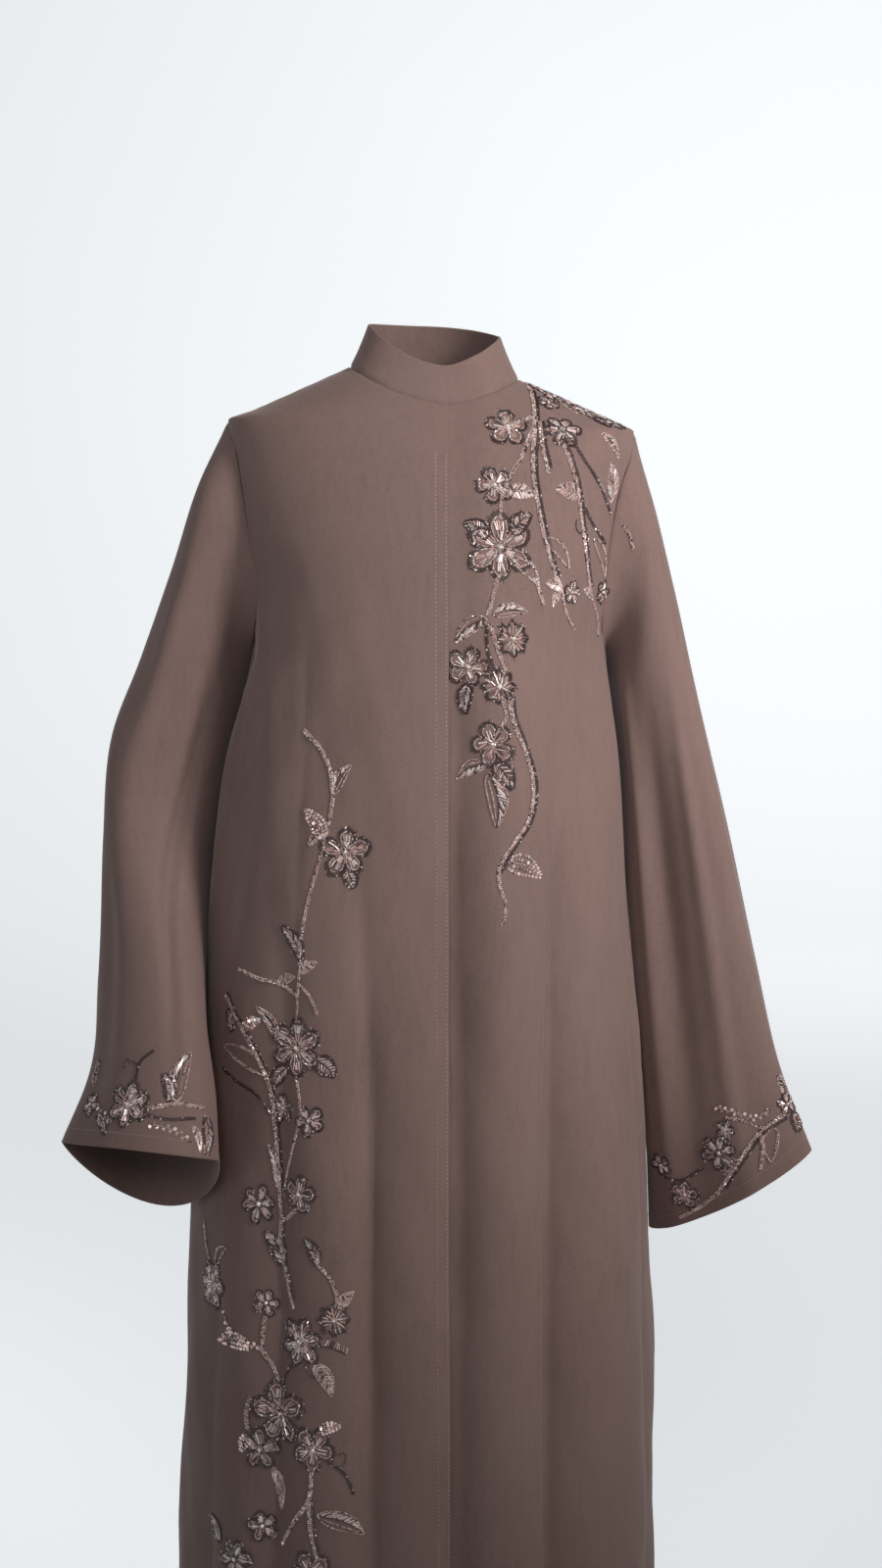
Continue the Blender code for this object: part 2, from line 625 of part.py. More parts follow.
# ---------------------------------------------------------------- assembly
def edge_cells(piece, kind):
    """Cells of a whole edge of a grid, and the cells next to them inside the piece."""
    rows, columns = piece.grid.shape[:2]
    if kind == "top":
        return [(0, c) for c in range(columns)], [(1, c) for c in range(columns)]
    if kind == "bottom":
        return ([(rows - 1, c) for c in range(columns)],
                [(rows - 2, c) for c in range(columns)])
    if kind == "first":
        return [(r, 0) for r in range(rows)], [(r, 1) for r in range(rows)]
    return ([(r, columns - 1) for r in range(rows)],
            [(r, columns - 2) for r in range(rows)])


def seam_run(seam, piece, kind, start=0, stop=None):
    """One seam of a piece: the cells of an edge from start to stop, both ends kept."""
    cells, inner = edge_cells(piece, kind)
    stop = len(cells) if stop is None else stop + 1
    return seam, piece, cells[start:stop], inner[start:stop]


def all_seams(fronts, back, sleeves, collar):
    neck = NECK_FRONT_STEPS
    shoulder = SHOULDER_STEPS
    underarm = ARMHOLE_STEPS
    seams = [seam_run("neck", back, "top", shoulder, shoulder + NECK_BACK_STEPS),
             seam_run("shoulder", back, "top", 0, shoulder),
             seam_run("shoulder", back, "top", shoulder + NECK_BACK_STEPS),
             seam_run("neck", collar, "bottom")]
    for front in fronts:
        seams += [seam_run("neck", front, "top", 0, neck),
                  seam_run("shoulder", front, "top", neck),
                  seam_run("armhole", front, "last", 0, underarm),
                  seam_run("side", front, "last", underarm)]
    for edge in ("first", "last"):
        seams += [seam_run("armhole", back, edge, 0, underarm),
                  seam_run("side", back, edge, underarm)]
    return seams + [seam_run("armhole", sleeve, "top") for sleeve in sleeves]


def main():
    for thing in list(bpy.data.objects):
        bpy.data.objects.remove(thing, do_unlink=True)
    fronts = [Piece("right_front", "body", front_grid("right"), True),
              Piece("left_front", "body", front_grid("left"), False)]
    back = Piece("back", "body", back_grid(), False)
    sleeves = [Piece("right_sleeve", "sleeve", sleeve_grid("right"), False, closed=True),
               Piece("left_sleeve", "sleeve", sleeve_grid("left"), True, closed=True)]
    band = collar_grid(fronts[1].grid, back.grid, fronts[0].grid)
    collar = Piece("collar", "collar", band, False)
    join_seams(all_seams(fronts, back, sleeves, collar))
    for piece in (*fronts, back, *sleeves, collar):
        body = bpy.data.objects.new(piece.name, build_wall(piece))
        body.data.materials.append(crepe(piece.name))
        bpy.context.scene.collection.objects.link(body)


main()
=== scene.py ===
"""Abaya cloak of taupe crepe: lapped fronts, stand collar, flared sleeves and beaded flowers.

Laid out as an add-on with one operator for each group of pieces. Run as a script, it loads the
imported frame, sews every piece round it and sets the stage. Units are metres, the wearer faces
-Y and +X is the wearer's left.
"""
import math
from collections import namedtuple
from functools import lru_cache

import bpy
import numpy as np
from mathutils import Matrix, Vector
from mathutils.bvhtree import BVHTree


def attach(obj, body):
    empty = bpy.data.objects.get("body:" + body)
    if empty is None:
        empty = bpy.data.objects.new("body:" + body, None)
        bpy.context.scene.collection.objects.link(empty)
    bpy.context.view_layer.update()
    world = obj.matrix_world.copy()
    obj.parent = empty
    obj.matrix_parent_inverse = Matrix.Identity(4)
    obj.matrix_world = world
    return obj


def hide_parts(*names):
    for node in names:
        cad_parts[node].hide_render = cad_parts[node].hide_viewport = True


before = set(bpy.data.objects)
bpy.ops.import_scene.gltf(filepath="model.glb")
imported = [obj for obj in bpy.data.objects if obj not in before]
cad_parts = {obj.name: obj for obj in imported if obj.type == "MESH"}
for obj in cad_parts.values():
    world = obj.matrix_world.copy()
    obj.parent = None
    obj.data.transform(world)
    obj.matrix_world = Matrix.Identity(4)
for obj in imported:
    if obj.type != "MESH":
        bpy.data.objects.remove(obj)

bl_info = {
    "name": "Abaya Cloak",
    "version": (1, 0, 0),
    "blender": (4, 5, 0),
    "location": "3D View > Sidebar > Abaya",
    "description": "Sews a crepe abaya cloak with beaded flowers, and sets its stage",
    "category": "Add Mesh",
}

# Driving dimensions of the cut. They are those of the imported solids, but for the pipes of the
# fronts, which stand out more here, and for the sleeves' inner faces and folds, which hang
# flatter and closer to the body.
HEM_HEIGHT = -1.42  # the hem, below the shoulder neck points
LAP_WIDTH = 0.030  # how far the right front crosses over the left one
LAP_DROP = 0.0040  # how deep the left front lies under the right one
LAP_RUN = 0.035  # width over which the left front sinks to that depth
LAP_FLAT = 0.004  # stretch beyond the lap's edge that still lies at full depth
ROUNDNESS = 2.15  # exponent of the body's sections, where 2 is an ellipse
JOIN_HEIGHT = -0.29  # below this the fronts and back meet in closed rings
ARMHOLE_TURN = math.radians(21)  # how far the armhole reaches round from the side
CUFF_CREASE = 0.35  # how sharply the sleeve is creased at its two sides, at the cuff
SLEEVE_FLATNESS = 0.70  # how flat the sleeve's two faces hang, halfway down
COLLAR_FRONT = 0.0335  # rise of the collar at the centre front
COLLAR_BACK = 0.0440  # rise of the collar at the centre back
COLLAR_LEAN = 0.215  # how far the collar narrows towards its top, as a share of its radius
COLLAR_CORNER = 0.013  # radius of the rounded corner at the collar's lapped end
SETTLED_HEIGHT = -0.15  # above this the columns bend from the shoulder towards the armhole
BACK_NECK_X = -0.002  # centre back of the neckline
BACK_CENTRING = 0.5  # depth over which the centre back line drifts to the body's middle
COLLAR_BOW = 0.15  # how much of the collar's lean comes early in its rise
FRONT_FACING = 0.034  # width turned in along the front edges
COLLAR_DOUBLED = 0.06  # more than the collar's rise, so that all of it is doubled
COLLAR_END_SEAM = 0.01  # depth of the seam that closes each end of the collar

# How finely each piece is divided
NECK_FRONT_STEPS = 34
NECK_BACK_STEPS = 44
SHOULDER_STEPS = 40
ARMHOLE_STEPS = 46
YOKE_ROWS = ARMHOLE_STEPS + 1
SKIRT_ROWS = 96
SLEEVE_ROWS = 88
COLLAR_ROWS = 14
FINE_STEPS = 160

# Sections of the body: height, then how far the cloth reaches to the wearer's right and left
# and to the front and back. The first rows follow the slope of the shoulders.
Section = namedtuple("Section", "height right left front back")
BODY_SECTIONS = (
    Section(0.0150, -0.0575, 0.0285, -0.036, 0.045),
    Section(0.0058, -0.0780, 0.0492, -0.048, 0.056),
    Section(-0.0056, -0.1038, 0.0749, -0.057, 0.066),
    Section(-0.0190, -0.1342, 0.1052, -0.066, 0.077),
    Section(-0.0320, -0.1637, 0.1345, -0.075, 0.086),
    Section(-0.0425, -0.1890, 0.1580, -0.082, 0.092),
    Section(-0.0530, -0.1895, 0.1800, -0.088, 0.097),
    Section(-0.0700, -0.1865, 0.1815, -0.098, 0.104),
    Section(-0.1000, -0.1845, 0.1755, -0.111, 0.113),
    Section(-0.1500, -0.1780, 0.1670, -0.126, 0.122),
    Section(-0.2000, -0.1665, 0.1590, -0.134, 0.126),
    Section(-0.2400, -0.1665, 0.1530, -0.138, 0.127),
    Section(-0.2900, -0.1780, 0.1600, -0.140, 0.127),
    Section(-0.3500, -0.1915, 0.1690, -0.142, 0.127),
    Section(-0.4600, -0.2080, 0.1765, -0.146, 0.129),
    Section(-0.6200, -0.2190, 0.1900, -0.151, 0.134),
    Section(-0.8000, -0.2305, 0.2010, -0.157, 0.140),
    Section(-1.0500, -0.2410, 0.2065, -0.164, 0.149),
    Section(-1.4200, -0.2560, 0.2120, -0.174, 0.162),
)

# Height of the neckline across the front and the back, and the front edge of the lap
NeckPoint = namedtuple("NeckPoint", "x front_height back_height")
NECKLINE = (
    NeckPoint(-0.0780, 0.0058, 0.0058),
    NeckPoint(-0.0620, -0.0050, 0.0045),
    NeckPoint(-0.0330, -0.0190, 0.0025),
    NeckPoint(0.0000, -0.0275, 0.0010),
    NeckPoint(0.0120, -0.0285, 0.0005),
    NeckPoint(0.0450, -0.0205, -0.0015),
    NeckPoint(0.0660, -0.0110, -0.0040),
    NeckPoint(0.0749, -0.0056, -0.0056),
)
EdgePoint = namedtuple("EdgePoint", "height x")
LAP_EDGE = (
    EdgePoint(0.0150, 0.0100),
    EdgePoint(-0.2000, 0.0104),
    EdgePoint(-0.7000, 0.0114),
    EdgePoint(-1.4200, 0.0145),
)

# Shoulder tips and the bottoms of the armholes, as heights on the form
ArmPlace = namedtuple("ArmPlace", "side_turn neck tip underarm")
ARM_PLACES = {
    "right": ArmPlace(math.pi, 0.0058, -0.0425, -0.235),
    "left": ArmPlace(0.0, -0.0056, -0.0530, -0.245),
}

# Folds of the body. Turns are degrees round the body: 0 is the wearer's left side, 90 the
# centre front, 180 the right side and 270 the centre back. A fold begins at one height, is
# full at another, and stands out by its depth, or in where the depth is negative. Its two
# flanks have their own widths in degrees.
Fold = namedtuple("Fold", "turn_top turn_hem begins full less_side more_side depth")
BODY_FOLDS = (
    Fold(205, 206, -0.35, -1.20, 7.0, 7.0, 0.014),
    Fold(221, 221, -0.40, -1.20, 6.0, 7.0, -0.014),
    Fold(238, 236, -0.30, -1.20, 6.0, 8.0, 0.016),
    Fold(254, 252, -0.30, -1.20, 6.0, 5.0, -0.014),
    Fold(268, 269, -0.34, -1.20, 6.0, 6.0, 0.017),
    Fold(285, 287, -0.36, -1.20, 7.0, 6.0, -0.013),
    Fold(302, 305, -0.30, -1.20, 7.0, 6.0, 0.016),
    Fold(320, 322, -0.40, -1.20, 7.0, 7.0, -0.013),
    Fold(336, 338, -0.40, -1.20, 7.0, 7.0, 0.012),
)

# Between their creases the fronts hang in rounded pipes. The turns of the two creases that
# bound a pipe are given below the chest and where they have settled. A pipe begins at one
# height and stands out by its whole height at another.
Pipe = namedtuple("Pipe", "less_top less_low more_top more_low begins full height")
FRONT_PIPES = (
    Pipe(17, 20, 50, 59, -0.24, -0.75, 0.0140),
    Pipe(50, 59, 81, 81, -0.13, -0.45, 0.0120),
    Pipe(84, 84, 105, 101, -0.15, -0.80, 0.0050),
    Pipe(105, 101, 129, 122, -0.34, -0.80, 0.0105),
    Pipe(129, 122, 154, 146, -0.40, -1.00, 0.0065),
)
PIPES_TOP, PIPES_SETTLED = -0.25, -0.82

# Sections of the sleeves: the outermost, foremost, innermost and rearmost point of each
Cuff = namedtuple("Cuff", "outer front inner back")
SLEEVE_SECTIONS = {
    "right": (
        Cuff((-0.2100, 0.004, -0.086), (-0.192, -0.047, -0.165),
             (-0.1695, 0.030, -0.262), (-0.202, 0.070, -0.172)),
        Cuff((-0.2407, 0.022, -0.177), (-0.216, -0.042, -0.238),
             (-0.1800, 0.048, -0.308), (-0.228, 0.100, -0.243)),
        Cuff((-0.2720, 0.042, -0.262), (-0.238, -0.036, -0.318),
             (-0.1945, 0.046, -0.380), (-0.246, 0.122, -0.322)),
        Cuff((-0.2970, 0.050, -0.330), (-0.256, -0.042, -0.382),
             (-0.2035, 0.040, -0.440), (-0.258, 0.124, -0.398)),
        Cuff((-0.3045, 0.024, -0.425), (-0.262, -0.070, -0.452),
             (-0.2090, -0.006, -0.502), (-0.264, 0.100, -0.490)),
        Cuff((-0.3100, -0.022, -0.540), (-0.256, -0.112, -0.545),
             (-0.2070, -0.080, -0.580), (-0.276, 0.036, -0.600)),
        Cuff((-0.3130, -0.064, -0.625), (-0.254, -0.148, -0.614),
             (-0.1960, -0.118, -0.640), (-0.272, -0.008, -0.680)),
        Cuff((-0.3370, -0.098, -0.688), (-0.255, -0.182, -0.676),
             (-0.1915, -0.142, -0.694), (-0.252, -0.054, -0.758)),
    ),
    "left": (
        Cuff((0.1935, 0.004, -0.102), (0.178, -0.046, -0.176),
             (0.1570, 0.030, -0.266), (0.188, 0.070, -0.184)),
        Cuff((0.2170, 0.008, -0.194), (0.192, -0.042, -0.252),
             (0.1655, 0.034, -0.325), (0.204, 0.096, -0.264)),
        Cuff((0.2410, 0.006, -0.302), (0.207, -0.034, -0.352),
             (0.1742, 0.034, -0.415), (0.222, 0.110, -0.364)),
        Cuff((0.2670, 0.000, -0.419), (0.223, -0.030, -0.466),
             (0.1788, 0.032, -0.515), (0.242, 0.118, -0.474)),
        Cuff((0.2940, -0.010, -0.536), (0.238, -0.026, -0.580),
             (0.1880, 0.028, -0.615), (0.258, 0.112, -0.584)),
        Cuff((0.3170, -0.024, -0.635), (0.252, -0.022, -0.684),
             (0.1985, 0.028, -0.715), (0.276, 0.096, -0.680)),
        Cuff((0.3470, -0.034, -0.711), (0.268, -0.014, -0.772),
             (0.2042, 0.060, -0.808), (0.290, 0.070, -0.758)),
    ),
}

# Folds of the sleeves, in degrees round the sleeve (0 outer, 90 front, 180 inner, 270 back)
# and in shares of its length, with the depth in metres
SleeveFold = namedtuple("SleeveFold", "turn_top turn_cuff begins full ends width depth")
SLEEVE_FOLDS = {
    "right": (
        SleeveFold(60, 62, 0.05, 0.25, 0.60, 14, 0.006),
        SleeveFold(124, 112, 0.12, 0.35, 1.00, 9, -0.009),
        SleeveFold(30, 40, 0.50, 0.72, 1.20, 16, -0.006),
        SleeveFold(250, 255, 0.20, 0.60, 1.20, 18, -0.008),
    ),
    "left": (
        SleeveFold(134, 130, 0.04, 0.20, 1.40, 8, 0.004),
        SleeveFold(108, 104, 0.15, 0.50, 1.30, 15, -0.008),
        SleeveFold(66, 70, 0.20, 0.50, 1.40, 9, 0.005),
        SleeveFold(245, 240, 0.20, 0.60, 1.20, 18, -0.008),
        SleeveFold(300, 295, 0.30, 0.80, 1.40, 16, 0.006),
    ),
}


# ---- curves through tables
def limited_slopes(knots, values):
    """Slopes at the knots that never overshoot the values."""
    steps = np.diff(knots)
    rises = np.diff(values) / steps
    slopes = np.empty(len(knots))
    slopes[0], slopes[-1] = rises[0], rises[-1]
    before, after = rises[:-1], rises[1:]
    same_sign = before * after > 0
    safe_sum = np.where(same_sign, before + after, 1.0)
    slopes[1:-1] = np.where(same_sign, 2 * before * after / safe_sum, 0.0)
    return slopes


def hermite(knots, values, slopes, at):
    """Cubic curve through values at knots with given slopes."""
    span = np.clip(np.searchsorted(knots, at, side="right") - 1, 0, len(knots) - 2)
    width = knots[span + 1] - knots[span]
    share = (at - knots[span]) / width
    extra = (1,) * (values.ndim - 1)
    width, share = (part.reshape(part.shape + extra) for part in (width, share))
    square, cube = share ** 2, share ** 3
    return ((2 * cube - 3 * square + 1) * values[span]
            + (cube - 2 * square + share) * width * slopes[span]
            + (3 * square - 2 * cube) * values[span + 1]
            + (cube - square) * width * slopes[span + 1])


def table_curve(rows, knot_name, value_name):
    """A function that reads one column of a table smoothly against another."""
    pairs = sorted((getattr(row, knot_name), getattr(row, value_name)) for row in rows)
    knots = np.array([pair[0] for pair in pairs])
    values = np.array([pair[1] for pair in pairs])
    slopes = limited_slopes(knots, values)
    return lambda at: hermite(knots, values, slopes, np.asarray(at, float))


def smooth_step(share):
    """Eased rise from 0 to 1."""
    share = np.clip(share, 0.0, 1.0)
    return share * share * (3 - 2 * share)


def travelled(points, axis=0):
    """Distance from the first point of a line, or along one axis of a grid of points."""
    gaps = np.linalg.norm(np.diff(points, axis=axis), axis=-1)
    start = np.zeros_like(np.take(gaps, [0], axis=axis))
    return np.cumsum(np.concatenate([start, gaps], axis=axis), axis=axis)


REACH_RIGHT = table_curve(BODY_SECTIONS, "height", "right")
REACH_LEFT = table_curve(BODY_SECTIONS, "height", "left")
REACH_FRONT = table_curve(BODY_SECTIONS, "height", "front")
REACH_BACK = table_curve(BODY_SECTIONS, "height", "back")
NECK_FRONT_HEIGHT = table_curve(NECKLINE, "x", "front_height")
NECK_BACK_HEIGHT = table_curve(NECKLINE, "x", "back_height")
LAP_EDGE_X = table_curve(LAP_EDGE, "height", "x")


# ---- the body's form
def middle_and_half(height):
    """Middle of the body's width, and half of that width."""
    right, left = REACH_RIGHT(height), REACH_LEFT(height)
    return (left + right) / 2, (left - right) / 2


def form_point(turn, height):
    """Point of the bare form at an angle round the body and a height."""
    turn, height = np.broadcast_arrays(np.asarray(turn, float), np.asarray(height, float))
    middle, half = middle_and_half(height)
    across, along = np.cos(turn), np.sin(turn)
    power = 2 / ROUNDNESS
    depth = np.where(along > 0, REACH_FRONT(height), REACH_BACK(height))
    x = middle + half * np.sign(across) * np.abs(across) ** power
    y = depth * np.abs(along) ** power
    return np.stack([x, y, height], axis=-1)


def front_turn(x, height):
    """Angle at which the front of the form passes through x at a height."""
    middle, half = middle_and_half(height)
    share = np.clip((x - middle) / half, -1.0, 1.0)
    return np.arccos(np.sign(share) * np.abs(share) ** (ROUNDNESS / 2))


def plan_normal(turn, height):
    """Level direction that points out of the form."""
    step = math.radians(0.5)
    run = form_point(turn + step, height) - form_point(turn - step, height)
    normal = np.stack([-run[..., 1], run[..., 0], np.zeros_like(run[..., 0])], axis=-1)
    outward = form_point(turn, height) * (1, 1, 0)
    sign = np.sign(np.sum(normal * outward, axis=-1, keepdims=True))
    length = np.linalg.norm(normal, axis=-1, keepdims=True)
    return sign * normal / np.maximum(length, 1e-9)


def fold_height(turn, height):
    """How far the folds lift the cloth off the form."""
    degrees = np.degrees(turn) % 360
    lift = np.zeros(np.broadcast(degrees, height).shape)
    for fold in BODY_FOLDS:
        fall = np.clip((fold.begins - height) / (fold.begins - HEM_HEIGHT), 0, 1)
        centre = fold.turn_top + (fold.turn_hem - fold.turn_top) * fall
        away = degrees - centre
        width = np.where(away < 0, fold.less_side, fold.more_side)
        strength = smooth_step((fold.begins - height) / (fold.begins - fold.full))
        lift += fold.depth * strength * np.exp(-(away / width) ** 2)
    return lift


def pipe_height(turn, height):
    """How far the pipes of the fronts lift the cloth off the form."""
    degrees = np.degrees(turn) % 360
    settled = np.clip((PIPES_TOP - height) / (PIPES_TOP - PIPES_SETTLED), 0, 1)
    lift = np.zeros(np.broadcast(degrees, height).shape)
    for pipe in FRONT_PIPES:
        less = pipe.less_top + (pipe.less_low - pipe.less_top) * settled
        more = pipe.more_top + (pipe.more_low - pipe.more_top) * settled
        across = np.clip((degrees - less) / (more - less), 0, 1)
        strength = smooth_step((pipe.begins - height) / (pipe.begins - pipe.full))
        lift += pipe.height * strength * 4 * across * (1 - across)
    return lift


def body_point(turn, height, drop=0.0):
    """Point on the outside of the cloth, folds included."""
    turn, height = np.broadcast_arrays(np.asarray(turn, float), np.asarray(height, float))
    lift = fold_height(turn, height) + pipe_height(turn, height) - drop
    return form_point(turn, height) + plan_normal(turn, height) * lift[..., None]


def lap_drop(side, turns, heights):
    """How far a front sinks under the lap, which only the left one does."""
    if side == "right":
        return 0.0
    x = form_point(turns, heights)[..., 0]
    return LAP_DROP * smooth_step((LAP_EDGE_X(heights) + LAP_RUN - x) / (LAP_RUN - LAP_FLAT))


# ---- edges of the panels
def neck_turns(first_x, last_x, steps, behind):
    """Angles and heights along the neckline between two places, angles as for the front."""
    middle = (NECKLINE[0].x + NECKLINE[-1].x) / 2
    half = (NECKLINE[-1].x - NECKLINE[0].x) / 2
    ends = [math.acos(max(-1, min(1, (x - middle) / half))) for x in (first_x, last_x)]
    x = middle + half * np.cos(np.linspace(*ends, steps + 1))
    heights = (NECK_BACK_HEIGHT if behind else NECK_FRONT_HEIGHT)(x)
    return front_turn(x, heights), heights


def armhole_path(side, behind):
    """Angles and heights down the armhole in even steps, from the tip to the underarm."""
    place = ARM_PLACES[side]
    share = np.linspace(0, 1, FINE_STEPS + 1)
    heights = place.tip + (place.underarm - place.tip) * (1 - np.cos(math.pi * share)) / 2
    reach = ARMHOLE_TURN * np.sin(math.pi * share)
    turns = place.side_turn + (-reach if place.side_turn else reach)
    turns = 2 * math.pi - turns if behind else turns
    return even_steps(turns, heights, ARMHOLE_STEPS)


def even_steps(turns, heights, steps):
    """Places at equal distances along a path on the form."""
    length = travelled(form_point(turns, heights))
    at = np.linspace(0, length[-1], steps + 1)
    return np.interp(at, length, turns), np.interp(at, length, heights)


# ---- grids of the pieces
def armhole_reach(side, height):
    """How far the armhole has taken the cloth back from the side at a height."""
    place = ARM_PLACES[side]
    share = np.clip((place.tip - height) / (place.tip - place.underarm), 0, 1)
    return ARMHOLE_TURN * np.sqrt(np.maximum(1 - (1 - 2 * share) ** 2, 0))


def shared_turn(share, height, side, edge_x):
    """Front angle at a share of the way from the middle edge to the armhole or side seam."""
    start = front_turn(edge_x(height), height)
    side_turn = ARM_PLACES[side].side_turn
    reach = armhole_reach(side, height)
    stop = side_turn - reach if side_turn else side_turn + reach
    return start + (stop - start) * share


def column_path(turn, height, share, side, edge_x):
    """A column from a place on the neckline or shoulder down to the closed rings."""
    fall = np.linspace(0, 1, FINE_STEPS + 1)
    heights = height + (JOIN_HEIGHT - height) * fall ** 2
    low = np.minimum(heights, SETTLED_HEIGHT)
    own_x = form_point(shared_turn(share, low, side, edge_x), low)[:, 0]
    start_x = form_point(turn, height)[0]
    settled_fall = math.sqrt((height - SETTLED_HEIGHT) / (height - JOIN_HEIGHT))
    settled = np.minimum(fall / settled_fall, 1)
    turns = front_turn(start_x + (own_x - start_x) * settled, heights)
    turns[0] = turn
    return even_steps(turns, heights, YOKE_ROWS)


def panel_half(side, edge_x, neck_steps, behind):
    """Angles and heights of half the body's front or back.

    The first column follows edge_x from the neckline to the hem, and the last one the
    armhole and the side seam. The others start at the neckline and the shoulder seam.
    """
    place = ARM_PLACES[side]
    neck_x = form_point(place.side_turn, place.neck)[0]
    neck_middle = float(edge_x(NECK_FRONT_HEIGHT(0.0)))
    neck = neck_turns(neck_middle, neck_x, neck_steps, behind)
    shoulder_heights = np.linspace(place.neck, place.tip, SHOULDER_STEPS + 1)[1:]
    top_heights = np.concatenate([neck[1], shoulder_heights])
    top_turns = np.concatenate([neck[0], np.full(SHOULDER_STEPS, place.side_turn)])
    share = np.linspace(0, 1, len(top_turns))
    columns = [column_path(turn, height, part, side, edge_x)
               for turn, height, part in zip(top_turns, top_heights, share)]
    arm_turns, arm_heights = armhole_path(side, behind)
    arm_turns = 2 * math.pi - arm_turns if behind else arm_turns
    columns[-1] = (np.append(arm_turns, place.side_turn), np.append(arm_heights, JOIN_HEIGHT))
    turns = np.array([column[0] for column in columns]).T
    heights = np.array([column[1] for column in columns]).T
    low = np.linspace(JOIN_HEIGHT, HEM_HEIGHT, SKIRT_ROWS + 1)[1:, None]
    turns = np.concatenate([turns, shared_turn(share[None, :], low, side, edge_x)])
    heights = np.concatenate([heights, low + 0 * share[None, :]])
    return (2 * math.pi - turns if behind else turns), heights


def under_edge_x(height):
    """Hidden edge of the left front, under the lap."""
    return LAP_EDGE_X(height) - LAP_WIDTH


def back_middle_x(height):
    """Centre back line, half way between the side seams below the yoke."""
    drift = smooth_step(-height / BACK_CENTRING)
    return BACK_NECK_X + (middle_and_half(height)[0] - BACK_NECK_X) * drift


def front_places(side):
    """Angles and heights of a front."""
    edge_x = LAP_EDGE_X if side == "right" else under_edge_x
    return panel_half(side, edge_x, NECK_FRONT_STEPS, False)


def back_places(side):
    """Angles and heights of half the back."""
    return panel_half(side, back_middle_x, NECK_BACK_STEPS // 2, True)


def across_back(left, right):
    """The two halves of the back as one, from the left side round to the right one."""
    return np.concatenate([left[:, ::-1], right[:, 1:]], axis=1)


def plain_front(side):
    """Points of a front, the left one sinking under the lap."""
    turns, heights = front_places(side)
    return body_point(turns, heights, lap_drop(side, turns, heights))


def plain_back():
    """Points of the back, from the left side round to the right one."""
    return across_back(*(body_point(*back_places(side)) for side in ("left", "right")))


def sleeve_loops(side):
    """The armhole, then the sleeve's sections, each a closed loop of points."""
    front_turns, front_heights = armhole_path(side, False)
    back_turns, back_heights = armhole_path(side, True)
    turns = np.concatenate([front_turns, back_turns[-2:0:-1]])
    heights = np.concatenate([front_heights, back_heights[-2:0:-1]])
    loops = [body_point(turns, heights)]
    angle = np.linspace(0, 2 * math.pi, 2 * ARMHOLE_STEPS, endpoint=False)[:, None]
    sections = SLEEVE_SECTIONS[side]
    for down, section in zip(np.linspace(0, 1, len(sections)), sections):
        outer, front, inner, back = (np.array(point) for point in section)
        centre = (outer + inner) / 2
        reach = np.where(np.sin(angle) >= 0, front - centre, back - centre)
        shape = 1 + CUFF_CREASE * down ** 2 - SLEEVE_FLATNESS * math.sin(math.pi * down)
        bulge = np.abs(np.sin(angle)) ** shape
        loops.append(centre + (outer - inner) / 2 * np.cos(angle) + reach * bulge)
    return np.array(loops)


def sleeve_grid(side):
    """Points of a sleeve at even distances down its length, folds included."""
    loops = sleeve_loops(side)
    gaps = np.linalg.norm(np.diff(loops, axis=0), axis=-1).mean(axis=-1)
    knots = np.concatenate([[0], np.cumsum(gaps)])
    slopes = np.gradient(loops, knots, axis=0)
    at = np.linspace(0, knots[-1], SLEEVE_ROWS + 1)
    grid = hermite(knots, loops, slopes, at)
    share = (at / knots[-1])[:, None]
    turn = np.linspace(0, 360, loops.shape[1], endpoint=False)[None, :]
    lift = np.zeros(grid.shape[:2])
    for fold in SLEEVE_FOLDS[side]:
        centre = fold.turn_top + (fold.turn_cuff - fold.turn_top) * share
        rise = smooth_step((share - fold.begins) / (fold.full - fold.begins))
        fade = smooth_step((fold.ends - share) / (fold.ends - fold.full))
        lift += fold.depth * rise * fade * np.exp(-((turn - centre) / fold.width) ** 2)
    return grid + grid_normals(grid, True, side == "left") * lift[..., None]


def collar_grid(front_left, back, front_right):
    """A band that rises from the neckline, its two ends crossed at the centre front."""
    base = np.concatenate([
        front_left[0, :NECK_FRONT_STEPS],
        back[0, SHOULDER_STEPS:SHOULDER_STEPS + NECK_BACK_STEPS],
        front_right[0, NECK_FRONT_STEPS::-1],
    ])
    centre = np.array([(NECKLINE[0].x + NECKLINE[-1].x) / 2, 0.0, 0.0])
    plan = (base - centre) * (1, 1, 0)
    away = np.arctan2(plan[:, 0], -plan[:, 1])
    rise = COLLAR_FRONT + (COLLAR_BACK - COLLAR_FRONT) * (1 - np.cos(away)) / 2
    length = travelled(base)
    from_end = np.clip(length[-1] - length, 0, COLLAR_CORNER)
    corner = COLLAR_CORNER - np.sqrt(COLLAR_CORNER ** 2 - (COLLAR_CORNER - from_end) ** 2)
    rows = []
    for row in range(COLLAR_ROWS + 1):
        share = (row / COLLAR_ROWS * (1 - corner / rise))[:, None]
        lean = COLLAR_LEAN * share * (1 + COLLAR_BOW - COLLAR_BOW * share)
        rows.append(base - plan * lean + np.array([0, 0, 1]) * rise[:, None] * share)
    return np.array(rows[::-1])


def grid_normals(grid, closed, flip):
    """Unit normals of a grid of points, whose rows run across and columns down."""
    if closed:
        round_run = np.roll(grid, -1, axis=1) - np.roll(grid, 1, axis=1)
    else:
        round_run = np.gradient(grid, axis=1)
    down_run = np.gradient(grid, axis=0)
    normals = np.cross(down_run, round_run)
    normals /= np.maximum(np.linalg.norm(normals, axis=-1, keepdims=True), 1e-12)
    return -normals if flip else normals


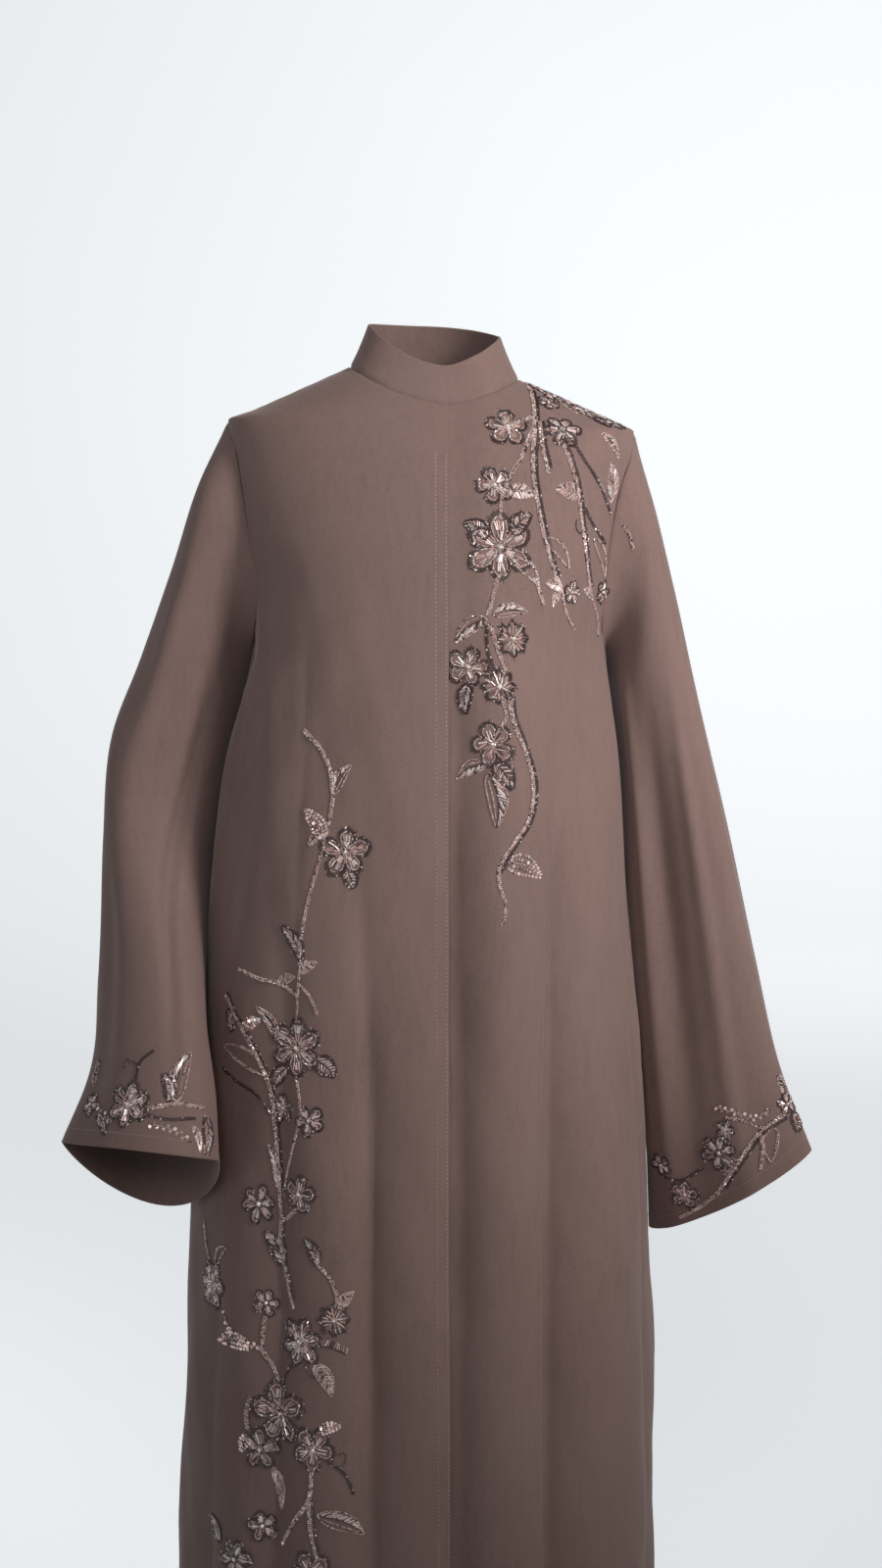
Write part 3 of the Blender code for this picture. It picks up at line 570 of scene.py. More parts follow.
# ---- extra relief of the cloth
# Creases of the fronts. Each runs down the front through up to three places and is a
# trough (negative depth) or ridge, with its own width on each side. Its shape runs from 1,
# a crisp line, to 2, a soft one. Run in is the length over which it starts. The crest of
# every crease is rounded off a little.
Crease = namedtuple("Crease", "side top middle low left_width right_width depth shape run_in")
FRONT_CREASES = (
    Crease("right", (-0.069, -0.4), (-0.06, -0.62), (-0.061, -1.4), 0.005, 0.032, -0.0112, 1.0, 0.35),
    Crease("left", (0.113, -0.24), (0.098, -0.69), (0.107, -1.4), 0.005, 0.036, -0.0136, 1.0, 0.35),
    Crease("left", (0.006, -0.14), (0.006, -0.5), (0.006, -1.4), 0.01, 0.032, -0.0062, 1.0, 0.3),
    Crease("right", (-0.113, -0.225), (-0.118, -0.39), (-0.126, -0.56), 0.006, 0.003, -0.0012, 1.5, 0.07),
    Crease("right", (-0.149, -0.245), (-0.16, -0.38), (-0.189, -0.58), 0.009, 0.0045, -0.0026, 1.4, 0.07),
    Crease("right", (-0.104, -0.95), (-0.101, -1.1), (-0.098, -1.4), 0.01, 0.01, -0.002, 1.6, 0.2),
    Crease("left", (0.088, -0.165), (0.084, -0.26), (0.078, -0.42), 0.006, 0.007, -0.0016, 1.6, 0.07),
    Crease("left", (0.122, -0.16), (0.119, -0.22), (0.116, -0.33), 0.005, 0.006, -0.0016, 1.6, 0.07),
    Crease("left", (0.139, -0.15), (0.134, -0.23), (0.13, -0.42), 0.006, 0.008, -0.0024, 1.5, 0.07),
    Crease("left", (0.06, -0.18), (0.058, -0.3), (0.052, -0.6), 0.012, 0.012, 0.0014, 2.0, 0.1),
    Crease("left", (0.15, -0.46), (0.156, -0.8), (0.16, -1.4), 0.014, 0.018, -0.0018, 1.6, 0.2),
)

CREST_ROUNDING, CREST_SHIFT = 0.003, 0.055

# Slow waves that keep the crepe from lying too evenly: waves per radian round the body and
# per metre down it, shift and height. They grow over a length below the shoulders.
Wave = namedtuple("Wave", "round down shift height")
CLOTH_WAVES = (
    Wave(5.0, 3.1, 0.4, 0.0011),
    Wave(9.0, -4.3, 1.9, 0.0008),
    Wave(16.0, 5.9, 3.1, 0.0005),
    Wave(27.0, -8.0, 0.9, 0.0003),
)
WAVES_GROW = 0.25

# A pressed seam: the depth and width of its dent, the height, width and distance of the ridge
# that its allowance makes, and the height, width, spacing and drift of its puckers
DENT, DENT_WIDTH = 0.0008, 0.0016
RIDGE, RIDGE_WIDTH, RIDGE_AWAY = 0.0003, 0.0035, 0.0065
PUCKER, PUCKER_WIDTH, PUCKER_SPACING = 0.00022, 0.008, 0.0031
PUCKER_DRIFT, DRIFT_SPACING = 2.2, 0.019


def crease_lift(x, height, side):
    """How far the thin creases raise or sink the cloth of a front."""
    lift = np.zeros(np.broadcast(x, height).shape)
    for crease in FRONT_CREASES:
        if crease.side != side:
            continue
        places = np.array([crease.low, crease.middle, crease.top])
        slopes = limited_slopes(places[:, 1], places[:, 0])
        top, low = crease.top[1], crease.low[1]
        line = hermite(places[:, 1], places[:, 0], slopes, np.clip(height, low, top))
        away = x - line
        width = np.where(away < 0, crease.left_width, crease.right_width)
        strength = smooth_step((top - height) / crease.run_in)
        strength = strength * smooth_step((height - low) / crease.run_in + 1)
        reach = np.sqrt((away / width) ** 2 + CREST_ROUNDING) - CREST_SHIFT
        lift += crease.depth * strength * np.exp(-np.abs(reach) ** crease.shape)
    return lift


def wave_lift(turn, height):
    """Slow unevenness of hanging crepe, none at the shoulders."""
    lift = sum(wave.height * np.sin(wave.round * turn + wave.down * height * 2 * math.pi
                                    + wave.shift) for wave in CLOTH_WAVES)
    return lift * smooth_step((SETTLED_HEIGHT / 2 - height) / WAVES_GROW)


def seam_press(distance, along):
    """The dent of a pressed seam, its allowance showing as a faint ridge, with small puckers."""
    dent = -DENT * np.exp(-(distance / DENT_WIDTH) ** 2)
    ridge = RIDGE * np.exp(-((distance - RIDGE_AWAY) / RIDGE_WIDTH) ** 2)
    drift = PUCKER_DRIFT * np.sin(along / DRIFT_SPACING)
    pucker = PUCKER * np.sin(along / PUCKER_SPACING + drift)
    return dent + ridge + pucker * np.exp(-(distance / PUCKER_WIDTH) ** 2)


EDGE_SHARES = (0.14, 0.32, 0.6)  # extra grid lines by an edge, as shares of the first cell
EDGE_ROUNDING = 0.3  # how far an edge bulges, as a share of its thickness
FOLD_STEP = 0.002  # width over which doubled cloth thins down to a single layer


def crowd(values, axis):
    """The same values with extra lines close to the first and the last line."""
    count = values.shape[axis]
    far_end = [count - 1 - share for share in reversed(EDGE_SHARES)]
    lines = np.concatenate([[0], EDGE_SHARES, np.arange(1, count - 1), far_end, [count - 1]])
    low = np.minimum(lines.astype(int), count - 2)
    share = lines - low
    shape = [1] * values.ndim
    shape[axis] = len(lines)
    share = share.reshape(shape)
    before, after = (np.take(values, line, axis=axis) for line in (low, low + 1))
    return before * (1 - share) + after * share


def pressed(grid, flip, seams, closed=False):
    """A grid with its seam edges pressed in. Seams name the edges that are sewn."""
    normals = grid_normals(grid, closed, flip)
    across, down = travelled(grid, 1), travelled(grid)
    lift = np.zeros(grid.shape[:2])
    if "top" in seams:
        lift += seam_press(down, across)
    if "bottom" in seams:
        lift += seam_press(down[-1:] - down, across)
    if "first" in seams:
        lift += seam_press(across, down)
    if "last" in seams:
        lift += seam_press(across[:, -1:] - across, down)
    return grid + normals * lift[..., None]


@lru_cache(maxsize=None)
def front_cloth(side):
    """Outside of a front, with folds, creases and pressed seams."""
    turns, heights = (crowd(crowd(values, 0), 1) for values in front_places(side))
    x = form_point(turns, heights)[..., 0]
    lift = crease_lift(x, heights, side) + wave_lift(turns, heights)
    sink = lap_drop(side, turns, heights)
    return pressed(body_point(turns, heights, sink - lift), side == "right", ("top", "last"))


@lru_cache(maxsize=None)
def back_cloth():
    """Outside of the back, from the left side round to the right one."""
    halves = [[crowd(values, 0) for values in back_places(side)] for side in ("left", "right")]
    turns, heights = (crowd(across_back(left, right), 1) for left, right in zip(*halves))
    grid = body_point(turns, heights, -wave_lift(turns, heights))
    return pressed(grid, False, ("top", "first", "last"))


@lru_cache(maxsize=None)
def sleeve_cloth(side):
    """Outside of a sleeve, its armhole edge pressed."""
    return pressed(crowd(sleeve_grid(side), 0), side == "left", ("top",), True)


@lru_cache(maxsize=None)
def collar_cloth():
    """Outside of the collar band, from the left front round to the lapped right end."""
    band = collar_grid(plain_front("left"), plain_back(), plain_front("right"))
    return pressed(crowd(crowd(band, 0), 1), False, ("bottom",))


# ---- meshes
def faces_mesh(name, points, faces, finish=None):
    """Mesh from an array of points and a list of arrays of faces, each of one side count."""
    mesh = bpy.data.meshes.new(name)
    mesh.vertices.add(len(points))
    mesh.vertices.foreach_set("co", np.asarray(points, np.float32).ravel())
    corners = np.concatenate([block.ravel() for block in faces])
    sides = np.concatenate([np.full(len(block), block.shape[1]) for block in faces])
    starts = np.concatenate([[0], np.cumsum(sides)[:-1]])
    mesh.loops.add(len(corners))
    mesh.loops.foreach_set("vertex_index", corners.astype(np.int32))
    mesh.polygons.add(len(sides))
    mesh.polygons.foreach_set("loop_start", starts.astype(np.int32))
    if finish is not None:
        mesh.polygons.foreach_set("material_index", finish.astype(np.int32))
    mesh.update(calc_edges=True)
    mesh.shade_smooth()
    return mesh


def border(place, closed):
    """Runs of points round the edge of a grid, and the points that lie inside next to them."""
    if closed:
        return [(place[0], place[1]), (place[-1, ::-1], place[-2, ::-1])]
    edge = (place[0, :-1], place[:-1, -1], place[-1, :0:-1], place[:0:-1, 0])
    inside = (place[1, :-1], place[:-1, -2], place[-2, :0:-1], place[:0:-1, 1])
    return [(np.concatenate(edge), np.concatenate(inside))]


def grid_faces(rows, columns, closed):
    """Numbers of a grid's points, and its four-sided faces."""
    place = np.arange(rows * columns).reshape(rows, columns)
    after = np.roll(place, -1, axis=1) if closed else place[:, 1:]
    here = place if closed else place[:, :-1]
    faces = np.stack([here[:-1], after[:-1], after[1:], here[1:]], axis=-1)
    return place, faces.reshape(-1, 4)


def shell_mesh(name, grid, flip, thickness, closed=False):
    """Cloth of a thickness under a grid, with rounded edges, as one closed body."""
    rows, columns = grid.shape[:2]
    normals = grid_normals(grid, closed, flip)
    inner = grid - normals * thickness[..., None]
    points = [grid.reshape(-1, 3), inner.reshape(-1, 3)]
    flat_outer, flat_inner = points
    place, outer_faces = grid_faces(rows, columns, closed)
    inner_faces = outer_faces[:, ::-1] + rows * columns
    blocks = [outer_faces, inner_faces]
    start = 2 * rows * columns
    for edge, inside in border(place, closed):
        away = flat_outer[edge] - flat_outer[inside]
        away /= np.maximum(np.linalg.norm(away, axis=1, keepdims=True), 1e-9)
        gap = np.linalg.norm(flat_outer[edge] - flat_inner[edge], axis=1, keepdims=True)
        points.append((flat_outer[edge] + flat_inner[edge]) / 2 + away * gap * EDGE_ROUNDING)
        middle = start + np.arange(len(edge))
        start += len(edge)
        far_edge = edge + rows * columns
        following = [np.roll(values, -1) for values in (edge, middle, far_edge)]
        blocks.append(np.stack([following[0], edge, middle, following[1]], axis=-1))
        blocks.append(np.stack([following[1], middle, far_edge, following[2]], axis=-1))
    if not flip:
        blocks = [block[:, ::-1] for block in blocks]
    return faces_mesh(name, np.concatenate(points), blocks)


def doubled(distance, depth, single, double):
    """Thickness that goes from double at an edge to single beyond a depth."""
    return single + (double - single) * smooth_step((depth - distance) / FOLD_STEP + 0.5)


def hang(name, mesh, materials):
    """Puts a mesh into the scene with its materials and makes it ride on the body."""
    piece = bpy.data.objects.new(name, mesh)
    bpy.context.scene.collection.objects.link(piece)
    for material in materials:
        mesh.materials.append(material)
    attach(piece, "root")
    return piece


# ---- settings
def tint(name, description, default):
    """A colour setting."""
    return bpy.props.FloatVectorProperty(name=name, description=description, default=default,
                                         min=0.0, max=1.0, size=3, subtype="COLOR")


def measure(name, description, default):
    """A length setting, in metres."""
    return bpy.props.FloatProperty(name=name, description=description, default=default,
                                   min=0.0, soft_max=0.1, precision=5, subtype="DISTANCE",
                                   unit="LENGTH")


def portion(name, description, default):
    """A setting from 0 to 1."""
    return bpy.props.FloatProperty(name=name, description=description, default=default,
                                   min=0.0, max=1.0, subtype="FACTOR")


def power(name, description, default):
    """The power of a lamp."""
    return bpy.props.FloatProperty(name=name, description=description, default=default,
                                   min=0.0, unit="POWER")


class AbayaClothSettings(bpy.types.PropertyGroup):
    """The crepe, its hems and its thread."""
    crepe: tint("Crepe", "Colour of the crepe", (0.190, 0.117, 0.101))
    # The hollows and crowns colours are painted shade and a painted highlight on the crepe's grain, not
    # colours of its yarn.
    crepe_deep: tint("Crepe hollows", "Colour between the crepe's twisted yarns",
                     (0.140, 0.091, 0.080))
    crepe_high: tint("Crepe crowns", "Colour of the crepe where its yarns catch the light",
                     (0.198, 0.134, 0.118))
    nap: tint("Nap", "Colour of the crepe's soft sheen", (0.86, 0.72, 0.68))
    thread: tint("Thread", "Colour of the topstitching", (0.46, 0.33, 0.30))
    single: measure("Cloth thickness", "Thickness of one layer of crepe", 0.0009)
    double: measure("Folded thickness", "Thickness of a folded hem or placket", 0.0019)
    placket: measure("Placket stitching", "From the front edge to its inner stitching", 0.0105)
    front_hem: measure("Hem depth", "Depth of the hem round the bottom", 0.028)
    cuff_hem: measure("Cuff hem depth", "Depth of the hem round a cuff", 0.0135)
    stitch: measure("Stitch length", "From one stitch of the topstitching to the next", 0.0038)
    grain: measure("Crepe grain", "Size of the crepe's pebbled grain", 0.0011)
    roughness: portion("Crepe roughness", "Roughness of the crepe", 0.80)
    sheen: portion("Crepe sheen", "Strength of the crepe's soft sheen", 0.22)


class AbayaBeadSettings(bpy.types.PropertyGroup):
    """The beads and sequins."""
    rose: tint("Rose beads", "Colour of the rose-lined beads", (0.50, 0.325, 0.290))
    plum: tint("Plum beads", "Colour of the dark beads", (0.042, 0.017, 0.017))
    silver: tint("Silver beads", "Colour of the silvery beads", (0.80, 0.68, 0.64))
    sequin: tint("Sequins", "Colour of the sequins", (0.66, 0.46, 0.43))
    seed: measure("Seed bead", "Diameter of a seed bead", 0.00165)
    bugle: measure("Bugle bead", "Width of a bugle bead in a petal", 0.0013)
    sequin_size: measure("Sequin", "Diameter of a sequin", 0.0034)
    crystal: measure("Crystal", "Diameter of a flower's centre crystal", 0.0034)


class AbayaStageSettings(bpy.types.PropertyGroup):
    """The floor, the lights and the camera."""
    floor: tint("Floor", "Colour of the floor and the wall it curves into", (0.84, 0.865, 0.88))
    floor_drop: measure("Floor drop", "How far the floor lies below the hem", 0.10)
    lens: bpy.props.FloatProperty(name="Lens", description="Focal length of the camera",
                                  default=62.5, min=20, max=200, unit="CAMERA")
    key: power("Key light", "Power of the main light", 5.2)
    fill: power("Fill light", "Power of the fill light", 1.8)
    back: power("Back light", "Power of the light behind", 40.0)


def cloth_settings():
    """The cloth's colours and sizes."""
    return bpy.context.scene.abaya_cloth


def bead_settings():
    """The beads' colours and sizes."""
    return bpy.context.scene.abaya_beads


def stage_settings():
    """The stage's colour, lamps and lens."""
    return bpy.context.scene.abaya_stage


# ---- finishes
class Finish:
    """Small helper that wires one material's nodes."""

    def __init__(self, name):
        self.material = bpy.data.materials.new(name)
        self.material.use_nodes = True
        self.tree = self.material.node_tree
        self.shader = self.tree.nodes["Principled BSDF"]
        self.place = self.tree.nodes.new("ShaderNodeTexCoord").outputs["Object"]

    def set(self, **values):
        """Uniform values, on the shader's own sockets."""
        for name, value in values.items():
            self.shader.inputs[name.replace("_", " ")].default_value = value

    def node(self, kind, **values):
        """A new node, each value set on its socket or, where it has none, as its property."""
        made = self.tree.nodes.new(kind)
        for name, value in values.items():
            if name in made.inputs:
                made.inputs[name].default_value = value
            else:
                setattr(made, name, value)
        return made

    def link(self, source, target):
        """Feeds a node's output into a socket."""
        self.tree.links.new(source, target)
        return self

    def noise(self, size, detail=2.0, distortion=0.0, stretch=None):
        """Noise whose patches are about size metres across."""
        texture = self.node("ShaderNodeTexNoise", Scale=1.0 / size, Detail=detail,
                            Distortion=distortion)
        source = self.place
        if stretch:
            mapping = self.node("ShaderNodeMapping", Scale=stretch)
            self.link(source, mapping.inputs["Vector"])
            source = mapping.outputs["Vector"]
        self.link(source, texture.inputs["Vector"])
        return texture.outputs["Fac"]

    def ramp(self, factor, stops):
        """Colours along a factor, as (place, colour) stops."""
        ramp = self.node("ShaderNodeValToRGB")
        elements = ramp.color_ramp.elements
        while len(elements) < len(stops):
            elements.new(0.5)
        for element, (place, colour) in zip(elements, stops):
            element.position = place
            element.color = (*colour, 1.0)
        self.link(factor, ramp.inputs["Fac"])
        return ramp.outputs["Color"]

    def grades(self, factor, low, high, least, most):
        """A number that runs from least to most while the factor runs from low to high."""
        limits = {"From Min": low, "From Max": high, "To Min": least, "To Max": most}
        span = self.node("ShaderNodeMapRange", **limits)
        self.link(factor, span.inputs["Value"])
        return span.outputs["Result"]

    def combine(self, operation, first, second):
        """Two numbers or outputs added, multiplied or otherwise combined."""
        made = self.node("ShaderNodeMath", operation=operation)
        for socket, value in zip(made.inputs, (first, second)):
            if isinstance(value, (int, float)):
                socket.default_value = value
            else:
                self.link(value, socket)
        return made.outputs["Value"]

    def bump(self, height, distance, strength=1.0):
        """Fine relief over a distance in metres."""
        made = self.node("ShaderNodeBump", Distance=distance, Strength=strength)
        self.link(height, made.inputs["Height"])
        self.link(made.outputs["Normal"], self.shader.inputs["Normal"])
        return self

    def colour(self, source):
        """Feeds the base colour."""
        return self.link(source, self.shader.inputs["Base Color"])

    def rough(self, source):
        """Feeds the roughness."""
        return self.link(source, self.shader.inputs["Roughness"])


@lru_cache(maxsize=None)
def crepe():
    """Matte crepe: a pebbled grain of twisted yarns, faint slubs and slow changes of tone, with painted
    shade in the hollows of the grain and slubs and a painted highlight on their crowns.
    """
    cloth = cloth_settings()
    finish = Finish("taupe_crepe")
    grain = finish.noise(cloth.grain, detail=3.0, distortion=0.4)
    slub = finish.noise(cloth.grain * 5, detail=1.0, stretch=(1.0, 1.0, 0.22))
    patch = finish.noise(0.16, detail=2.0)
    painted_shade_and_tone = finish.combine("ADD", finish.combine("MULTIPLY", grain, 0.5),
                           finish.combine("MULTIPLY", slub, 0.2))
    painted_shade_and_tone = finish.combine("ADD", painted_shade_and_tone, finish.combine("MULTIPLY", patch, 0.3))
    # Painted shade and highlight: the ramp follows the same grain and slubs as the bump, so their hollows
    # are painted darker and their crowns lighter. Only the slow patches are a real change of tone.
    finish.colour(finish.ramp(painted_shade_and_tone, ((0.33, cloth.crepe_deep), (0.50, cloth.crepe),
                                      (0.67, cloth.crepe_high))))
    finish.rough(finish.grades(grain, 0.3, 0.7, cloth.roughness + 0.06, cloth.roughness - 0.06))
    finish.set(Metallic=0.0, Sheen_Weight=cloth.sheen, Sheen_Roughness=0.45,
               Sheen_Tint=(*cloth.nap, 1.0), Specular_IOR_Level=0.28)
    relief = finish.combine("ADD", grain, finish.combine("MULTIPLY", slub, 0.5))
    finish.bump(relief, 0.00016, 0.75)
    return finish.material


@lru_cache(maxsize=None)
def thread():
    """Twisted sewing thread with a soft lustre, the grooves of its twist painted darker as shade."""
    finish = Finish("rose_thread")
    twist_and_groove_shade = finish.noise(0.0007, detail=1.0)
    base = tuple(cloth_settings().thread)
    # Painted shade: the darker colour follows the same noise as the bump, so the twist's grooves are
    # painted darker.
    finish.colour(finish.ramp(twist_and_groove_shade, ((0.3, tuple(0.75 * c for c in base)), (0.7, base))))
    finish.rough(finish.grades(twist_and_groove_shade, 0.3, 0.7, 0.60, 0.42))
    finish.set(Sheen_Weight=0.4, Sheen_Roughness=0.4, Specular_IOR_Level=0.5)
    finish.bump(twist_and_groove_shade, 0.0001)
    return finish.material


def bead_finish(name, colour, spread, metallic, gloss, coat):
    """Glass beads that differ a little from one to the next, foiled inside."""
    finish = Finish(name)
    each = finish.node("ShaderNodeNewGeometry").outputs["Random Per Island"]
    dark = tuple(max(c * (1 - spread), 0.0) for c in colour)
    bright = tuple(min(c * (1 + 0.8 * spread), 1.0) for c in colour)
    finish.colour(finish.ramp(each, ((0.0, dark), (0.55, tuple(colour)), (1.0, bright))))
    cloud = finish.noise(0.0009, detail=1.0)
    finish.rough(finish.grades(cloud, 0.35, 0.65, gloss * 0.7, gloss * 1.5))
    finish.set(Metallic=metallic, Specular_IOR_Level=0.7, Coat_Weight=coat, Coat_Roughness=0.08)
    finish.bump(cloud, 0.00005, 0.4)
    return finish.material


@lru_cache(maxsize=None)
def bead_finishes():
    """Rose, plum and silver beads, then sequins, in the order of the mesh's slots."""
    beads = bead_settings()
    return (bead_finish("rose_beads", beads.rose, 0.62, 0.15, 0.32, 0.5),
            bead_finish("plum_beads", beads.plum, 0.50, 0.10, 0.36, 0.2),
            bead_finish("silver_beads", beads.silver, 0.40, 0.35, 0.24, 0.5),
            bead_finish("sequins", beads.sequin, 0.35, 0.80, 0.20, 0.4))


@lru_cache(maxsize=None)
def studio_floor():
    """Plain painted floor that curves up into the wall."""
    finish = Finish("pale_floor")
    cloud = finish.noise(1.3, detail=2.0)
    base = tuple(stage_settings().floor)
    finish.colour(finish.ramp(cloud, ((0.35, tuple(0.985 * c for c in base)), (0.65, base))))
    finish.rough(finish.grades(cloud, 0.35, 0.65, 0.92, 0.86))
    finish.set(Specular_IOR_Level=0.2, Emission_Color=(*base, 1.0), Emission_Strength=0.64)
    return finish.material


# ---- cloth pieces
# What shows of each piece laid flat: its width and height, all round for a sleeve, and area
Cut = namedtuple("Cut", "flat area")


def sew_panel(node, grid, flip, edges, closed=False):
    """Makes one piece of cloth. Edges give the depth of each doubled edge in metres."""
    cloth = cloth_settings()
    across, down = travelled(grid, 1), travelled(grid)
    from_edge = {"first": across, "last": across[:, -1:] - across,
                 "top": down, "bottom": down[-1:] - down}
    thickness = np.full(grid.shape[:2], cloth.single)
    for edge, depth in edges.items():
        layers = doubled(from_edge[edge], depth, cloth.single, cloth.double)
        thickness = np.maximum(thickness, layers)
    name = node + "_cloth"
    piece = hang(name, shell_mesh(name, grid, flip, thickness, closed), [crepe()])
    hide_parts(node)


# ---- sewing things onto the cloth
class Ground:
    """The outside of some pieces of cloth, on which beads and stitches are laid."""

    def __init__(self, *grids):
        points, faces, start = [], [], 0
        for grid, closed in grids:
            place, quads = grid_faces(*grid.shape[:2], closed)
            points.append(grid.reshape(-1, 3))
            faces.append(quads + start)
            start += place.size
        self.tree = BVHTree.FromPolygons(np.concatenate(points).tolist(),
                                         np.concatenate(faces).tolist())

    def seen(self, start, view):
        """The place on the cloth seen from start along view, and its normal towards start."""
        place, normal, _, _ = self.tree.ray_cast(start, view)
        if place is None:
            raise RuntimeError(f"no cloth is seen from {start}")
        return np.array(place), np.array(normal if normal.dot(view) < 0 else -normal)

    def settle(self, points, outward):
        """The nearest places on the cloth, with normals on the side that outward shows."""
        places, normals = np.empty_like(points), np.empty_like(points)
        for index, (point, out) in enumerate(zip(points, outward)):
            place, normal, _, _ = self.tree.find_nearest(Vector(point))
            places[index] = place
            normals[index] = normal if normal.dot(Vector(out)) > 0 else -normal
        return places, normals


def turned(profile, sides):
    """A solid turned about X from (x, radius) pairs: points, four-sided faces and two caps."""
    angle = np.arange(sides) * 2 * math.pi / sides
    points = np.array([(x, r * math.cos(a), r * math.sin(a)) for x, r in profile for a in angle])
    ring = np.arange(sides)
    after = np.roll(ring, -1)
    quads = np.concatenate([np.stack([ring, after, after + sides, ring + sides], axis=-1)[:, ::-1]
                            + level * sides for level in range(len(profile) - 1)])
    caps = np.stack([ring, ring[::-1] + (len(profile) - 1) * sides])
    return points, quads, caps


# Shapes of what is sewn on, one unit long and one across, turned about their own axis. What
# stands up is turned about the cloth's normal, the rest lies along its row. Each kind lies
# more or less unevenly.
SHAPES = {
    "seed": turned(((-0.40, 0.30), (0.0, 0.50), (0.40, 0.30)), 5),
    "bugle": turned(((-0.50, 0.46), (0.50, 0.46)), 5),
    "stitch": turned(((-0.50, 0.25), (0.0, 0.50), (0.50, 0.25)), 4),
    "sequin": turned(((-0.10, 0.15), (0.02, 0.50), (0.10, 0.46)), 8),
    "crystal": turned(((-0.30, 0.50), (0.10, 0.50), (0.40, 0.24)), 8),
}
STANDING = ("sequin", "crystal")
LOOSE = {"seed": 0.34, "bugle": 0.20, "sequin": 0.28, "crystal": 0.05, "stitch": 0.03}
FINISHES = {"rose": 0, "plum": 1, "silver": 2, "sequin": 3}
BEDDING = 0.42  # height of a bead's middle above the cloth, as a share of its width
STANDING_TILT = 1.5  # how much more the standing ones tilt than the lying ones turn
LYING_FLAT = 0.9  # how far the lying ones follow the cloth, where 1 is wholly
SHARP_EDGE = math.radians(38)  # edges of a bead that turn more than this stay crisp


class Sewing:
    """Beads, sequins or stitches gathered for one piece, then made into one mesh."""

    def __init__(self, ground, seed):
        self.ground = ground
        self.random = np.random.default_rng(seed)
        self.rows = {}

    def add(self, kind, finish, points, heads, outward, size, lift=None):
        """Adds items at points along heads. Size is (length, width), one or one for each."""
        count = len(points)
        if not count:
            return
        size = np.broadcast_to(np.asarray(size, float), (count, 2))
        lift = size[:, 1] * BEDDING if lift is None else np.broadcast_to(lift, (count,))
        slots = np.broadcast_to([FINISHES[name] for name in np.atleast_1d(finish)], (count,))
        outward = np.broadcast_to(outward, points.shape)
        rows = self.rows.setdefault(kind, [])
        rows.append((points, heads, outward, size, lift, slots))

    def mesh(self, name):
        """All that was added, settled on the cloth, as one mesh."""
        points, blocks, slots, start = [], [], [], 0
        for kind, rows in self.rows.items():
            at, heads, outward, size, lift, finish = (
                np.concatenate(column) for column in zip(*rows))
            at, normals = self.ground.settle(at, outward)
            wobble = self.random.normal(0, 1, (len(at), 3)) * LOOSE[kind]
            heads = unit_rows(heads + wobble)
            if kind in STANDING:
                axis = unit_rows(normals + wobble * STANDING_TILT)
                side = unit_rows(np.cross(axis, heads))
            else:
                rise = np.sum(heads * normals, axis=1, keepdims=True)
                axis = unit_rows(heads - normals * rise * LYING_FLAT)
                side = unit_rows(np.cross(normals, axis))
            up = np.cross(axis, side)
            shape, quads, caps = SHAPES[kind]
            scaled = shape[None] * np.stack([size[:, 0], size[:, 1], size[:, 1]], axis=1)[:, None]
            placed = (scaled[..., 0:1] * axis[:, None] + scaled[..., 1:2] * side[:, None]
                      + scaled[..., 2:3] * up[:, None]) + (at + normals * lift[:, None])[:, None]
            offsets = start + np.arange(len(at))[:, None, None] * len(shape)
            for faces in (quads, caps):
                blocks.append((faces[None] + offsets).reshape(-1, faces.shape[1]))
                slots.append(np.repeat(finish, len(faces)))
            points.append(placed.reshape(-1, 3))
            start += len(at) * len(shape)
        mesh = faces_mesh(name, np.concatenate(points), blocks, np.concatenate(slots))
        mesh.set_sharp_from_angle(angle=SHARP_EDGE)
        return mesh


def unit_rows(vectors):
    """The same vectors, one unit long."""
    return vectors / np.maximum(np.linalg.norm(vectors, axis=-1, keepdims=True), 1e-12)


def route(points, step=0.0006):
    """A smooth line through points in the plane or in space, at small even steps."""
    points = np.asarray(points, float)
    knots = travelled(points)
    slopes = np.gradient(points, knots, axis=0)
    at = np.linspace(0, knots[-1], max(int(knots[-1] / step), 4) + 1)
    return hermite(knots, points, slopes, at)


def paced(line, gap, begin=0.5, loop=False):
    """Places along a line a gap apart, and the direction of the line at each."""
    if loop:
        line = np.concatenate([line, line[:1]])
    along = travelled(line)
    count = max(int(round(along[-1] / gap)), 1)
    gap = along[-1] / count
    at = (np.arange(count) + begin) * gap
    places, ahead, behind = (
        np.stack([np.interp(spots, along, column) for column in line.T], axis=1)
        for spots in (at, at + gap / 4, at - gap / 4))
    return places, unit_rows(ahead - behind)


STITCH_SHARE = 0.56  # how much of a stitch shows above the cloth
THREAD_WIDTH, THREAD_LIFT = 0.00062, 0.00016
PLACKET_START = 12  # first grid row of the placket stitching, below the collar seam
PLACKET_STOP = 3  # grid rows left out at the hem
EDGE_STITCHING = 0.0014  # from the front edge to its outer row of stitching


def topstitch(sewing, line, outward):
    """A row of stitches along a line in space."""
    stitch = cloth_settings().stitch
    places, heads = paced(line, stitch)
    size = (stitch * STITCH_SHARE, THREAD_WIDTH)
    sewing.add("stitch", "rose", places, heads, outward, size, lift=THREAD_LIFT)


# ---- beadwork
# Where the beadwork lies. Places are x and z on the cloth as it is faced from the front,
# or from behind where the spray is said to be sewn on the hidden side, in metres.
Stem = namedtuple("Stem", "style places")
Flower = namedtuple("Flower", "style x z radius petals turn")
Leaf = namedtuple("Leaf", "style base tip half_width")

